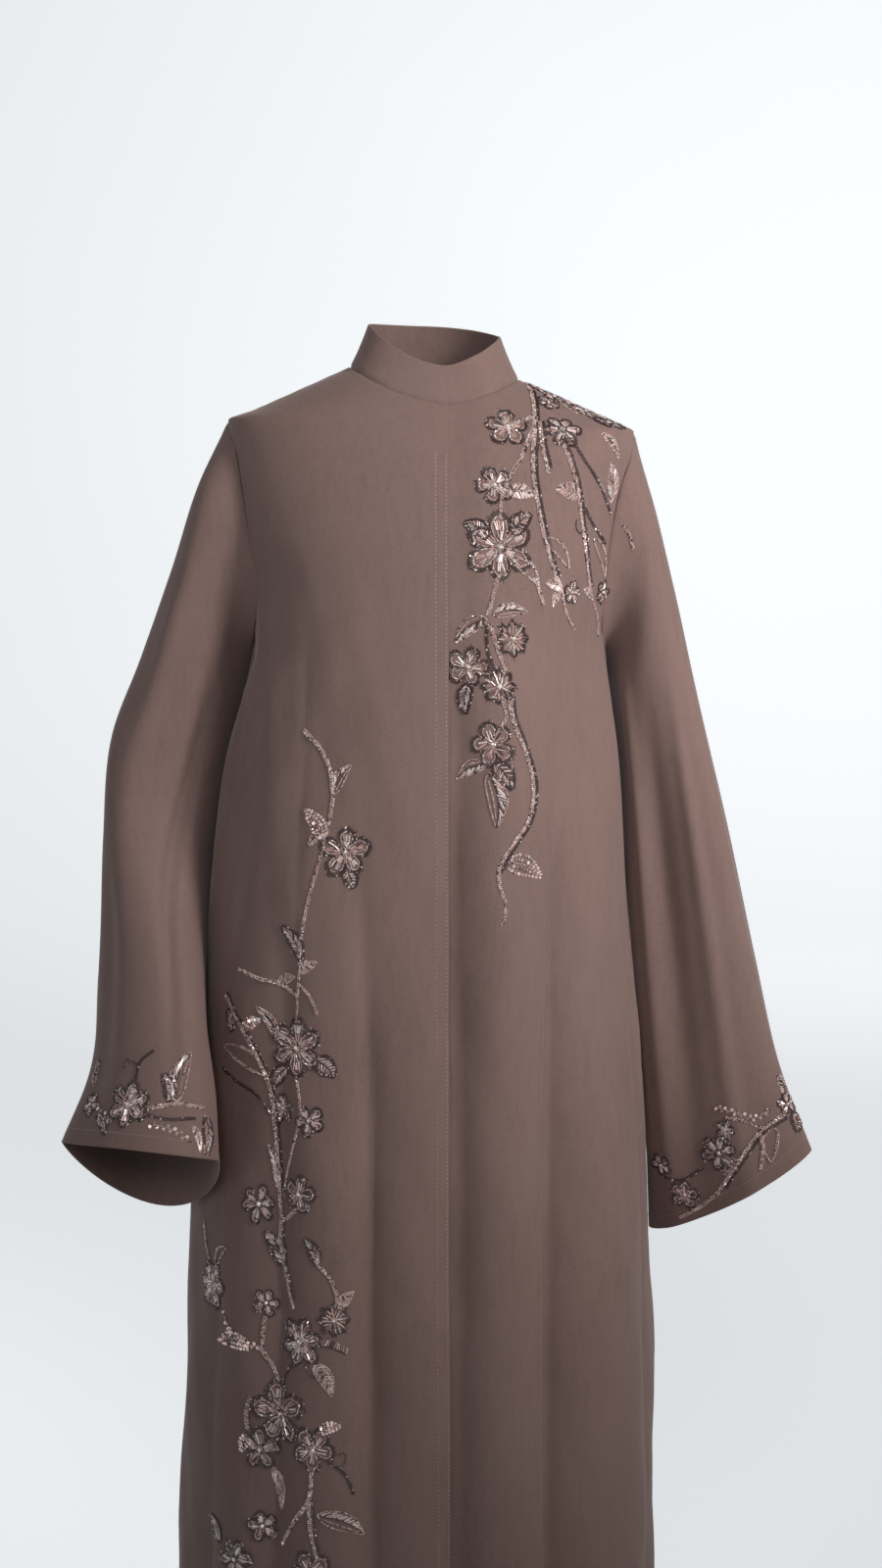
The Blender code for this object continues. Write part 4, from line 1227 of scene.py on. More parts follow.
SHOULDER_SPRAY = (
    Stem("both", ((0.083, -0.013), (0.087, -0.034), (0.086, -0.056))),
    Stem("rope", ((0.086, -0.05), (0.074, -0.078), (0.06, -0.103), (0.055, -0.134))),
    Stem("both", ((0.087, -0.052), (0.085, -0.08), (0.09, -0.122), (0.1, -0.165),
                  (0.11, -0.194))),
    Stem("fine", ((0.11, -0.192), (0.114, -0.211), (0.123, -0.228))),
    Stem("both", ((0.112, -0.064), (0.124, -0.1), (0.129, -0.134), (0.134, -0.172),
                  (0.139, -0.203))),
    Stem("fine", ((0.14, -0.205), (0.145, -0.222), (0.146, -0.236))),
    Stem("plum", ((0.119, -0.06), (0.131, -0.078), (0.144, -0.098), (0.156, -0.127))),
    Stem("plum", ((0.127, -0.112), (0.139, -0.135), (0.151, -0.153))),
    Stem("both", ((0.091, -0.044), (0.094, -0.068), (0.099, -0.091))),
    Stem("rope", ((0.085, -0.041), (0.077, -0.044), (0.068, -0.048))),
    Stem("fine", ((0.168, -0.136), (0.173, -0.144), (0.177, -0.158))),
    Flower("loop", 0.063, -0.05, 0.016, 5, 15),
    Flower("dark", 0.112, -0.052, 0.0165, 6, 0),
    Flower("dark", 0.1, -0.028, 0.0095, 5, 30),
    Flower("loop", 0.051, -0.101, 0.015, 5, 40),
    Flower("fan", 0.056, -0.155, 0.027, 6, 90),
    Leaf("dark", (0.046, -0.146), (0.025, -0.133), 0.0065),
    Leaf("dark", (0.067, -0.144), (0.083, -0.126), 0.0075),
    Leaf("open", (0.068, -0.166), (0.09, -0.188), 0.0065),
    Stem("rope", ((0.086, -0.181), (0.09, -0.192), (0.094, -0.205))),
    Leaf("feather", (0.062, -0.107), (0.087, -0.11), 0.008),
    Leaf("feather", (0.128, -0.112), (0.105, -0.104), 0.0085),
    Leaf("feather", (0.156, -0.116), (0.156, -0.08), 0.0095),
    Leaf("open", (0.096, -0.147), (0.117, -0.174), 0.0065),
    Leaf("open", (0.14, -0.148), (0.151, -0.183), 0.006),
    Leaf("feather", (0.111, -0.19), (0.096, -0.187), 0.0065),
    Leaf("feather", (0.109, -0.193), (0.103, -0.207), 0.004),
    Flower("dark", 0.12, -0.195, 0.0095, 5, 10),
    Flower("dark", 0.149, -0.196, 0.01, 5, 70),
    Leaf("feather", (0.139, -0.2), (0.131, -0.193), 0.0045),
    Leaf("half", (0.148, -0.055), (0.163, -0.077), 0.0045),
    Leaf("plum_curl", (0.124, -0.13), (0.122, -0.145), 0.004),
)

# The dense band over the shoulder seam: x along the shoulder and y across it, from above
SHOULDER_BAND = (
    Flower("loop", 0.093, -0.012, 0.0105, 5, 0),
    Flower("dark", 0.106, -0.024, 0.011, 5, 20),
    Flower("loop", 0.12, -0.014, 0.012, 5, 50),
    Flower("dark", 0.134, -0.026, 0.012, 6, 10),
    Flower("loop", 0.148, -0.015, 0.012, 5, 35),
    Flower("dark", 0.161, -0.025, 0.0105, 5, 0),
    Leaf("half", (0.082, -0.004), (0.096, 0.004), 0.0045),
    Leaf("dark", (0.108, -0.004), (0.124, 0.004), 0.005),
    Leaf("half", (0.13, -0.004), (0.148, 0.004), 0.005),
    Leaf("dark", (0.152, -0.004), (0.166, 0.002), 0.0045),
    Leaf("half", (0.112, -0.034), (0.128, -0.04), 0.005),
    Leaf("dark", (0.142, -0.034), (0.156, -0.042), 0.005),
    Stem("rope", ((0.08, -0.016), (0.105, -0.01), (0.132, -0.018), (0.168, -0.01))),
)

FRONT_CHAIN = (
    Stem("rope", ((0.055, -0.176), (0.05, -0.196), (0.045, -0.214))),
    Leaf("half", (0.044, -0.216), (0.017, -0.237), 0.0075),
    Leaf("half", (0.05, -0.213), (0.079, -0.211), 0.0065),
    Stem("rope", ((0.047, -0.221), (0.053, -0.241), (0.061, -0.262))),
    Stem("plum", ((0.044, -0.222), (0.045, -0.243), (0.051, -0.262))),
    Flower("star", 0.067, -0.234, 0.0155, 8, 0),
    Flower("loop", 0.028, -0.258, 0.016, 5, 70),
    Leaf("dark", (0.029, -0.272), (0.026, -0.299), 0.006),
    Flower("star", 0.055, -0.275, 0.015, 8, 20),
    Stem("fine", ((0.058, -0.288), (0.061, -0.3), (0.056, -0.312))),
    Flower("loop", 0.049, -0.325, 0.0175, 5, 110),
    Leaf("half", (0.044, -0.342), (0.018, -0.356), 0.0065),
    Leaf("dark", (0.05, -0.342), (0.067, -0.365), 0.0075),
    Leaf("half", (0.046, -0.35), (0.053, -0.398), 0.0095),
    Stem("both", ((0.064, -0.284), (0.067, -0.304), (0.077, -0.33), (0.085, -0.36),
                  (0.081, -0.392), (0.067, -0.413), (0.055, -0.435), (0.056, -0.452))),
    Stem("fine", ((0.056, -0.45), (0.061, -0.468), (0.058, -0.484))),
    Leaf("sequin", (0.06, -0.428), (0.092, -0.443), 0.011),
)

UPPER_VINE = (
    Stem("rope", ((-0.116, -0.315), (-0.104, -0.327), (-0.094, -0.344), (-0.09, -0.368),
                  (-0.094, -0.398))),
    Stem("fine", ((-0.094, -0.396), (-0.103, -0.432), (-0.113, -0.468), (-0.119, -0.502),
                  (-0.121, -0.54), (-0.123, -0.572))),
    Leaf("half", (-0.09, -0.37), (-0.074, -0.344), 0.0065),
    Leaf("sequin", (-0.098, -0.412), (-0.115, -0.384), 0.0085),
    Leaf("half", (-0.094, -0.402), (-0.112, -0.416), 0.0045),
    Flower("fan", -0.079, -0.42, 0.02, 5, 90),
    Leaf("dark", (-0.079, -0.436), (-0.072, -0.452), 0.0055),
    Leaf("dark", (-0.118, -0.517), (-0.136, -0.488), 0.006),
    Leaf("feather", (-0.12, -0.528), (-0.104, -0.518), 0.0055),
    Stem("rope", ((-0.122, -0.55), (-0.136, -0.54), (-0.156, -0.537), (-0.176, -0.531))),
    Leaf("feather", (-0.14, -0.541), (-0.124, -0.532), 0.005),
    Stem("fine", ((-0.121, -0.538), (-0.111, -0.548), (-0.104, -0.564))),
    Flower("fan", -0.123, -0.595, 0.0255, 6, 90),
    Leaf("dark", (-0.108, -0.604), (-0.088, -0.618), 0.008),
    Leaf("dark", (-0.131, -0.613), (-0.145, -0.633), 0.006),
    Leaf("half", (-0.14, -0.588), (-0.16, -0.562), 0.005),
    Stem("both", ((-0.19, -0.558), (-0.176, -0.579), (-0.161, -0.604), (-0.148, -0.632),
                  (-0.143, -0.668), (-0.14, -0.71), (-0.137, -0.748))),
    Stem("plum", ((-0.192, -0.624), (-0.177, -0.633), (-0.16, -0.641), (-0.147, -0.657))),
    Flower("loop", -0.184, -0.579, 0.009, 5, 0),
    Leaf("sequin", (-0.172, -0.584), (-0.156, -0.574), 0.006),
    Leaf("open", (-0.152, -0.622), (-0.191, -0.604), 0.0085),
    Stem("fine", ((-0.123, -0.62), (-0.12, -0.655), (-0.128, -0.69), (-0.136, -0.728))),
    Flower("loop", -0.135, -0.65, 0.011, 5, 20),
    Flower("dark", -0.112, -0.658, 0.0135, 5, 50),
    Leaf("half", (-0.141, -0.722), (-0.149, -0.684), 0.004),
    Flower("dark", -0.158, -0.739, 0.0165, 6, 15),
    Flower("loop", -0.121, -0.724, 0.0145, 5, 80),
    Stem("rope", ((-0.122, -0.736), (-0.13, -0.746), (-0.137, -0.752))),
    Stem("both", ((-0.137, -0.748), (-0.138, -0.764), (-0.134, -0.793), (-0.126, -0.828))),
    Leaf("dark", (-0.135, -0.792), (-0.152, -0.762), 0.0075),
    Stem("rope", ((-0.085, -0.824), (-0.092, -0.799), (-0.106, -0.782))),
    Leaf("dark", (-0.104, -0.785), (-0.116, -0.762), 0.005),
)

LOWER_VINE = (
    Flower("fan", -0.204, -0.823, 0.0205, 6, 60),
    Leaf("open", (-0.2, -0.804), (-0.189, -0.784), 0.006),
    Stem("fine", ((-0.206, -0.803), (-0.21, -0.788), (-0.212, -0.768))),
    Flower("dark", -0.151, -0.826, 0.012, 5, 0),
    Stem("rope", ((-0.152, -0.838), (-0.154, -0.852), (-0.155, -0.866))),
    Flower("fan", -0.12, -0.857, 0.02, 6, 75),
    Flower("star", -0.09, -0.834, 0.014, 8, 10),
    Leaf("feather", (-0.084, -0.824), (-0.073, -0.808), 0.0055),
    Leaf("comb", (-0.106, -0.858), (-0.079, -0.866), 0.006),
    Leaf("feather", (-0.109, -0.873), (-0.092, -0.903), 0.008),
    Leaf("plum_curl", (-0.116, -0.876), (-0.108, -0.894), 0.004),
    Stem("sequin", ((-0.194, -0.842), (-0.184, -0.858), (-0.17, -0.866), (-0.158, -0.866))),
    Leaf("sequin", (-0.163, -0.868), (-0.197, -0.872), 0.008),
    Stem("rope", ((-0.158, -0.866), (-0.148, -0.879), (-0.139, -0.897))),
    Stem("plum", ((-0.138, -0.902), (-0.133, -0.888), (-0.126, -0.876))),
    Flower("fan", -0.139, -0.926, 0.026, 5, 100),
    Leaf("comb", (-0.166, -0.946), (-0.163, -0.914), 0.005),
    Flower("dark", -0.158, -0.961, 0.0185, 5, 20),
    Flower("loop", -0.109, -0.952, 0.018, 5, 60),
    Leaf("sequin", (-0.166, -0.95), (-0.176, -0.966), 0.006),
    Leaf("sequin", (-0.104, -0.936), (-0.084, -0.93), 0.0055),
    Stem("plum", ((-0.096, -0.962), (-0.083, -0.971), (-0.073, -0.992))),
    Leaf("plum_curl", (-0.086, -0.969), (-0.074, -0.957), 0.004),
    Leaf("feather", (-0.146, -0.976), (-0.138, -1.014), 0.006),
    Stem("rope", ((-0.11, -0.97), (-0.113, -0.998), (-0.126, -1.02), (-0.138, -1.046))),
    Stem("both", ((-0.113, -0.998), (-0.111, -1.028), (-0.106, -1.05))),
    Leaf("half", (-0.105, -1.01), (-0.065, -1.03), 0.0085),
    Flower("dark", -0.156, -1.031, 0.0135, 5, 35),
    Flower("dark", -0.182, -1.066, 0.0185, 6, 10),
    Flower("loop", -0.112, -1.064, 0.017, 5, 45),
    Leaf("dark", (-0.196, -1.056), (-0.206, -1.036), 0.006),
    Stem("rope", ((-0.118, -1.08), (-0.13, -1.112), (-0.125, -1.15), (-0.133, -1.19),
                  (-0.13, -1.226))),
    Stem("rope", ((-0.178, -1.084), (-0.164, -1.104), (-0.148, -1.116), (-0.131, -1.118))),
    Flower("loop", -0.104, -1.128, 0.016, 5, 15),
    Flower("dark", -0.152, -1.16, 0.015, 5, 60),
    Leaf("half", (-0.126, -1.15), (-0.098, -1.166), 0.0075),
    Leaf("dark", (-0.132, -1.192), (-0.154, -1.206), 0.007),
    Leaf("half", (-0.131, -1.222), (-0.124, -1.262), 0.008),
)

RIGHT_CUFF_FRONT = (
    Flower("fan", -0.27, -0.641, 0.0195, 6, 90),
    Stem("plum", ((-0.264, -0.622), (-0.26, -0.606), (-0.248, -0.596))),
    Leaf("plum_curl", (-0.262, -0.61), (-0.274, -0.6), 0.0045),
    Leaf("half", (-0.227, -0.637), (-0.216, -0.598), 0.0085),
    Leaf("dark", (-0.232, -0.637), (-0.239, -0.614), 0.0045),
    Stem("rope", ((-0.252, -0.643), (-0.228, -0.639), (-0.204, -0.645))),
    Stem("plum", ((-0.252, -0.648), (-0.232, -0.651), (-0.21, -0.652))),
    Stem("sequin", ((-0.25, -0.655), (-0.23, -0.659), (-0.212, -0.672))),
    Stem("sequin", ((-0.306, -0.644), (-0.297, -0.65), (-0.285, -0.658))),
    Leaf("dark", (-0.202, -0.652), (-0.201, -0.684), 0.0065),
    Leaf("feather", (-0.212, -0.658), (-0.206, -0.68), 0.0045),
    Flower("dark", -0.307, -0.65, 0.0105, 5, 0),
    Leaf("half", (-0.306, -0.636), (-0.302, -0.614), 0.005),
    Leaf("dark", (-0.3, -0.655), (-0.29, -0.668), 0.0045),
)
RIGHT_CUFF_BACK = (
    Stem("rope", ((-0.302, -0.672), (-0.282, -0.69), (-0.262, -0.706), (-0.24, -0.704))),
    Flower("loop", -0.276, -0.668, 0.016, 5, 30),
    Flower("dark", -0.246, -0.684, 0.0145, 5, 0),
    Leaf("half", (-0.262, -0.704), (-0.288, -0.716), 0.0065),
    Leaf("dark", (-0.296, -0.676), (-0.302, -0.652), 0.0055),
    Stem("sequin", ((-0.24, -0.704), (-0.228, -0.692), (-0.22, -0.674))),
)
LEFT_CUFF_FRONT = (
    Stem("both", ((0.322, -0.677), (0.303, -0.69), (0.282, -0.72), (0.264, -0.756))),
    Stem("rope", ((0.264, -0.756), (0.248, -0.774), (0.23, -0.788))),
    Leaf("open", (0.312, -0.69), (0.31, -0.722), 0.0085),
    Stem("rope", ((0.3, -0.694), (0.302, -0.712), (0.3, -0.73))),
    Stem("sequin", ((0.258, -0.672), (0.276, -0.676), (0.293, -0.681), (0.31, -0.672))),
    Stem("fine", ((0.268, -0.681), (0.284, -0.684), (0.3, -0.69))),
    Flower("dark", 0.263, -0.717, 0.0175, 6, 20),
    Flower("loop", 0.268, -0.694, 0.0075, 5, 0),
    Stem("plum", ((0.212, -0.746), (0.23, -0.749), (0.25, -0.734))),
    Flower("dark", 0.212, -0.736, 0.011, 5, 40),
    Flower("loop", 0.234, -0.763, 0.0125, 5, 10),
    Flower("dark", 0.324, -0.668, 0.0095, 5, 30),
    Leaf("half", (0.322, -0.66), (0.314, -0.64), 0.005),
    Leaf("dark", (0.33, -0.676), (0.334, -0.694), 0.005),
    Leaf("half", (0.282, -0.722), (0.268, -0.738), 0.0045),
)
LEFT_CUFF_BACK = (
    Stem("rope", ((0.326, -0.69), (0.306, -0.704), (0.286, -0.728), (0.262, -0.744))),
    Flower("loop", 0.3, -0.68, 0.0155, 5, 50),
    Flower("dark", 0.264, -0.716, 0.015, 5, 15),
    Leaf("half", (0.288, -0.726), (0.306, -0.74), 0.006),
    Leaf("dark", (0.262, -0.744), (0.242, -0.76), 0.006),
    Stem("sequin", ((0.296, -0.716), (0.28, -0.7), (0.27, -0.684))),
)


PETAL_POINTS = 60
PETAL_START = 0.16  # where a petal begins, as a share of the flower's radius
PETAL_REST = slice(10, 51)  # the part of a petal's outline that is away from the middle
STEM_SPACING = 0.0014  # between the rows of a rope
SHADOW_ROWS = (0.0031, 0.0045)  # how far the dark rows lie beside a rope
SHADOW_SHARE = 0.92  # how much of the rope they follow
PLUM_ROWS, FINE_ROWS = (-0.0008, 0.0009), (-0.0007, 0.0008)
STAR_INSET = 0.0019  # between the two dark rows round a star
LARGE_FLOWER = 0.019  # radius beyond which petals have two rounds of bugles
MIXES = {  # what is strung in among each finish, and its share
    "rose": ("silver", 0.20, "plum", 0.10),
    "plum": ("rose", 0.05, "silver", 0.03),
    "silver": ("rose", 0.36, "plum", 0.12),
}
NARROW_BUGLE, BRISTLE = 0.0011, 0.0009  # widths of the bugles in leaves and in fringes
BRISTLE_REACH = (0.0010, 0.0024)  # shortest and longest bristle
THREADING = 1.10  # distance between threaded beads, as a share of their width


def petal_outline(reach, half_width, tip):
    """Outline of a petal along X, from the flower's middle out and back."""
    t = np.linspace(0, 2 * math.pi, PETAL_POINTS + 1)[:-1]
    out = (1 - np.cos(t)) / 2
    along = reach * (PETAL_START + (1 - PETAL_START) * out)
    across = half_width * np.sin(t) * (0.50 + 0.62 * out) * (1 - tip * out ** 5)
    return np.stack([along, across], axis=1)


def circle(count):
    """Places at even turns round a circle one unit in radius."""
    turn = np.arange(count) * 2 * math.pi / count
    return np.stack([np.cos(turn), np.sin(turn)], axis=1)


def swung(flat, turn):
    """Flat points turned about the origin."""
    cosine, sine = math.cos(turn), math.sin(turn)
    return np.stack([flat[:, 0] * cosine - flat[:, 1] * sine,
                     flat[:, 0] * sine + flat[:, 1] * cosine], axis=1)


class Spray:
    """Draws stems, flowers and leaves in beads on the cloth."""

    VIEWS = {"front": (0.0, 1.0, 0.0), "behind": (0.0, -1.0, 0.0), "above": (0.0, 0.0, -1.0)}

    def __init__(self, ground, seed):
        self.sewing = Sewing(ground, seed)
        self.random = np.random.default_rng(seed + 50)
        self.view = "front"

    def face(self, view):
        """Places that follow are read from this side."""
        self.view = view
        return self

    def spot(self, place):
        """The place on the cloth that is seen there, and the normal of the cloth."""
        view = Vector(self.VIEWS[self.view])
        start = Vector((place[0], 0.0, place[1])) - view
        if self.view == "above":
            start = Vector((place[0], place[1], 0.2))
        return self.sewing.ground.seen(start, view)

    def sides(self, normal):
        """Two directions along the cloth: across it and up it."""
        upward = (0.0, 1.0, 0.0) if self.view == "above" else (0.0, 0.0, 1.0)
        side = unit_rows(np.cross(upward, normal))
        return side, np.cross(normal, side)

    def mix(self, count, finish):
        """Mostly one finish, with a few others strung in."""
        second, second_share, third, third_share = MIXES[finish]
        draw = self.random.random(count)
        names = np.full(count, finish, dtype=object)
        names[draw < second_share + third_share] = third
        names[draw < second_share] = second
        return names

    def string(self, line, normal, finish, size, loop=False, slant=0.0):
        """Seed beads threaded along a line."""
        seed = bead_settings().seed * size
        places, heads = paced(line, seed * THREADING, loop=loop)
        count = len(places)
        places = places + self.random.normal(0, 0.00012, places.shape)
        if slant:
            heads = unit_rows(heads + np.cross(normal, heads) * slant)
        widths = seed * self.random.uniform(0.86, 1.12, (count, 1)) * np.array([[1.12, 1.0]])
        self.sewing.add("seed", self.mix(count, finish), places, heads, normal, widths)

    def bugles(self, starts, ends, normal, finish, width, lift=None):
        """Bugle beads laid from starts to ends."""
        starts, ends = np.atleast_2d(starts), np.atleast_2d(ends)
        lengths = np.linalg.norm(ends - starts, axis=1)
        size = np.stack([lengths, np.full(len(starts), width)], axis=1)
        self.sewing.add("bugle", self.mix(len(starts), finish), (starts + ends) / 2,
                        unit_rows(ends - starts), normal, size, lift)

    def sequins(self, places, normal):
        """Sequins of slightly different sizes."""
        count = len(places)
        width = bead_settings().sequin_size * self.random.uniform(0.8, 1.1, count)
        heads = np.tile(self.sides(normal)[0], (count, 1))
        names = np.where(self.random.random(count) < 0.25, "silver", "sequin")
        self.sewing.add("sequin", names, places, heads, normal,
                        np.stack([width, width], axis=1), lift=0.0007)

    def bristles(self, line, out, normal, gap=0.0025):
        """Short dark bugles that stand out from a line like a fringe."""
        places, _ = paced(line, gap)
        rate = np.linspace(0, len(out) - 1, len(places)).astype(int)
        reach = self.random.uniform(*BRISTLE_REACH, (len(places), 1))
        tips = places + (out[rate] + self.random.normal(0, 0.35, places.shape)) * reach
        self.bugles(places, tips, normal, "plum", BRISTLE, lift=0.0005)

    def stem(self, motif):
        """A stem of one of the styles below, along a smooth line."""
        points, normals = zip(*(self.spot(place) for place in motif.places))
        line = route(np.array(points))
        normal = unit_rows(sum(normals))
        heads = unit_rows(np.gradient(line, axis=0))
        aside = unit_rows(np.cross(normal, heads))
        getattr(self, "stem_" + motif.style)(line, aside, normal)

    def stem_rope(self, line, aside, normal):
        """Three rows of beads, slanted like the strands of a rope."""
        taper = np.linspace(1.0, 0.7, len(line))[:, None]
        for offset, slant in ((-STEM_SPACING, 0.5), (0.0, -0.4), (STEM_SPACING, 0.5)):
            self.string(line + aside * offset * taper, normal, "rose", 1.0, slant=slant)

    def stem_both(self, line, aside, normal):
        """A rope with dark rows beside it."""
        self.stem_rope(line, aside, normal)
        stop = int(len(line) * SHADOW_SHARE)
        for offset in SHADOW_ROWS:
            self.string(line[:stop] + aside[:stop] * offset, normal, "plum", 1.0)

    def stem_plum(self, line, aside, normal):
        """Two dark rows."""
        for offset in PLUM_ROWS:
            self.string(line + aside * offset, normal, "plum", 1.05, slant=0.3)

    def stem_fine(self, line, aside, normal):
        """Two rows of small beads."""
        for offset in FINE_ROWS:
            self.string(line + aside * offset, normal, "rose", 0.92, slant=0.3)

    def stem_sequin(self, line, aside, normal):
        """Sequins to either side of a row of beads."""
        self.string(line, normal, "rose", 0.8)
        places, _ = paced(line, 0.0030)
        side = aside[np.linspace(0, len(aside) - 1, len(places)).astype(int)]
        swing = np.where(np.arange(len(places)) % 2, 1.0, -1.0)[:, None]
        self.sequins(places + side * swing * 0.0019, normal)

    def flower(self, motif):
        """A flower of one of the styles, with a ring of beads and a crystal at its centre."""
        centre, normal = self.spot((motif.x, motif.z))
        side, up = self.sides(normal)

        def lay(flat):
            return centre + flat[:, :1] * side + flat[:, 1:] * up

        if motif.style == "star":
            self.star(motif, lay, normal)
        else:
            for k in range(motif.petals):
                turn = math.radians(motif.turn) + 2 * math.pi * k / motif.petals
                self.petal(motif, turn + self.random.normal(0, 0.05), lay, normal)
        eye = lay(circle(7) * min(0.0028, motif.radius * PETAL_START))
        self.string(eye, normal, "silver", 0.9, loop=True)
        crystal = bead_settings().crystal * min(1.0, motif.radius / 0.014)
        self.sewing.add("crystal", "silver", centre[None], side[None], normal,
                        (crystal, crystal), lift=0.0016)

    def petal(self, motif, turn, lay, normal):
        """A petal's outline, its dark shadow and the bugles that fill it."""
        reach = motif.radius * self.random.uniform(0.90, 1.06)
        half_width = 1.02 * reach * 0.6 * math.sin(math.pi / motif.petals)
        tip = 0.55 if motif.style == "fan" else 0.12
        width = bead_settings().bugle
        outline = petal_outline(reach, half_width, tip)
        large = motif.radius > LARGE_FLOWER
        if motif.style == "dark":
            for scale in ((1.0, 1.0), (1.09, 1.26)):
                self.string(lay(swung(outline * scale, turn)), normal, "plum", 1.05, loop=True)
            self.string(lay(swung(outline * (0.94, 0.66), turn)), normal, "rose", 0.85, loop=True)
        else:
            self.string(lay(swung(outline, turn)), normal, "rose", 0.95, loop=True)
            for scale in ((1.05, 1.20), (1.12, 1.40)):
                line = lay(swung((outline[PETAL_REST] + (0.0008, 0.0)) * scale, turn))
                self.string(line, normal, "plum", 1.0)
            self.bristles(line, unit_rows(line - lay(np.zeros((1, 2)))), normal)
        rows, fanned = (5, 0.62) if large else (3, 0.5)
        spans = ((0.24, 0.52), (0.55, 0.84)) if large else ((0.26, 0.74),)
        for k in range(rows):
            lean = (k - (rows - 1) / 2) * fanned / (rows - 1)
            lean *= 2 * math.pi / motif.petals * 0.62
            for span in spans:
                ends = [lay(swung(np.array([[reach * part, 0.0]]), turn + lean * (1 - 0.2 * part)))
                        for part in span]
                self.bugles(*ends, normal, "rose" if k % 2 else "silver", width)

    def star(self, motif, lay, normal):
        """A round flower of short rays with a dark jagged rim."""
        for k in range(2 * motif.petals):
            turn = math.pi * k / motif.petals + math.radians(motif.turn)
            long = k % 2 == 0
            spans = ((0.22, 0.56), (0.58, 0.92)) if long else ((0.38, 0.74),)
            for span in spans:
                ends = [lay(swung(np.array([[motif.radius * part, 0.0]]), turn)) for part in span]
                self.bugles(*ends, normal, "silver" if long else "rose", bead_settings().bugle)
        around = np.linspace(0, 2 * math.pi, 120)[:-1]
        heads = np.stack([np.cos(around), np.sin(around)], axis=1)
        rim = motif.radius * (0.90 + 0.12 * np.cos(motif.petals * around))[:, None]
        line = lay(heads * rim)
        self.string(line, normal, "plum", 1.1, loop=True)
        self.string(lay(heads * (rim - STAR_INSET)), normal, "plum", 0.9, loop=True)
        self.bristles(line, unit_rows(line - lay(np.zeros((1, 2)))), normal, gap=0.0018)

    def leaf(self, motif):
        """A leaf of one of the styles below, on a bent rib."""
        base, normal = self.spot(motif.base)
        tip, tip_normal = self.spot(motif.tip)
        normal = unit_rows(normal + tip_normal)
        axis = tip - base
        side = unit_rows(np.cross(normal, axis))
        bend = 0.10 if motif.base[0] < motif.tip[0] else -0.10
        t = np.linspace(0, 1, 41)
        rib = base + axis * t[:, None] + side * (bend * np.linalg.norm(axis)
                                                 * np.sin(math.pi * t))[:, None]
        width = motif.half_width * np.sin(math.pi * t ** 0.85) ** 0.8 * (1 - 0.15 * t)
        getattr(self, "leaf_" + motif.style)(rib, side * width[:, None], side, normal)

    def hatch(self, rib, spread, normal, finish, gap=0.0021, slope=5):
        """Slanted bugles from the rib to the edge of a leaf."""
        length = np.linalg.norm(rib[-1] - rib[0])
        for index in np.linspace(3, len(rib) - 3 - slope, max(int(length / gap), 2)).astype(int):
            start = rib[index] + spread[index] * 0.12
            end = rib[index + slope] + spread[min(index + slope, len(rib) - 1)] * 0.80
            if np.linalg.norm(end - start) > 0.0012:
                self.bugles(start, end, normal, finish, NARROW_BUGLE)

    def leaf_half(self, rib, spread, side, normal):
        """A dark rib with one half filled."""
        self.string(rib, normal, "plum", 0.85)
        self.string(rib + spread, normal, "rose", 0.92)
        self.string(rib - spread, normal, "rose", 0.92)
        self.hatch(rib, spread, normal, "silver")
        self.string(rib[6:-6] - spread[6:-6] * 0.5, normal, "rose", 0.85)

    def leaf_dark(self, rib, spread, side, normal):
        """Filled and edged in dark beads."""
        for sign in (1, -1):
            edge = rib + sign * spread
            for row in (0.0, 0.0014):
                self.string(edge + side * sign * row, normal, "plum", 1.05)
            self.bristles(edge[6:-4], np.tile(side * sign, (len(edge), 1)), normal, 0.0020)
            self.hatch(rib, sign * spread, normal, "silver" if sign > 0 else "rose", 0.0026)
        self.string(rib, normal, "plum", 0.8)

    def leaf_open(self, rib, spread, side, normal):
        """An outline in two rows, open inside."""
        for sign in (1, -1):
            self.string(rib + sign * spread, normal, "rose", 0.95, slant=0.4)
            self.string(rib + sign * spread * 0.80, normal, "rose", 0.75)

    def leaf_feather(self, rib, spread, side, normal):
        """A rib with slanted bugles on both sides."""
        for sign in (1, -1):
            self.hatch(rib, sign * spread * 1.15, normal, "rose", 0.0017)
            self.string(rib + sign * spread * 0.95, normal, "rose", 0.75)
        self.string(rib, normal, "rose", 0.85)

    def leaf_comb(self, rib, spread, side, normal):
        """A ruffle: bugles side by side that stand on a dark line."""
        self.string(rib, normal, "plum", 1.0)
        places, _ = paced(rib, 0.0019)
        reach = np.linalg.norm(spread, axis=1).max()
        start = places + side * 0.0008
        self.bugles(start, start + side * reach, normal, "rose", bead_settings().bugle)

    def leaf_sequin(self, rib, spread, side, normal):
        """A rib between rows of sequins."""
        self.string(rib, normal, "rose", 0.85)
        places = [paced(rib[4:] + spread[4:] * row, 0.0034)[0] for row in (-0.85, -0.35, 0.35, 0.85)]
        self.sequins(np.concatenate(places), normal)

    def leaf_plum_curl(self, rib, spread, side, normal):
        """A dark tendril that winds up at its end."""
        t = np.linspace(0, 1, 60)
        axis = rib[-1] - rib[0]
        turn = 4.6 * t ** 2
        reach = np.linalg.norm(axis) / 40
        steps = (np.cos(turn)[:, None] * unit_rows(axis) + np.sin(turn)[:, None] * side) * reach
        line = rib[0] + np.cumsum(steps * (1.35 - 0.9 * t)[:, None], axis=0)
        self.string(line, normal, "plum", 0.85)

    def draw(self, motifs):
        """Sews stems, flowers and leaves in the order of their table."""
        for motif in motifs:
            getattr(self, type(motif).__name__.lower())(motif)
        return self

    def finish(self, name):
        """Puts the spray into the scene as one piece."""
        piece = hang(name, self.sewing.mesh(name), bead_finishes())
        return piece


def on_body_left():
    """The left front with the back and the sleeve beside it."""
    return Ground((front_cloth("left"), False), (back_cloth(), False), (sleeve_cloth("left"), True))


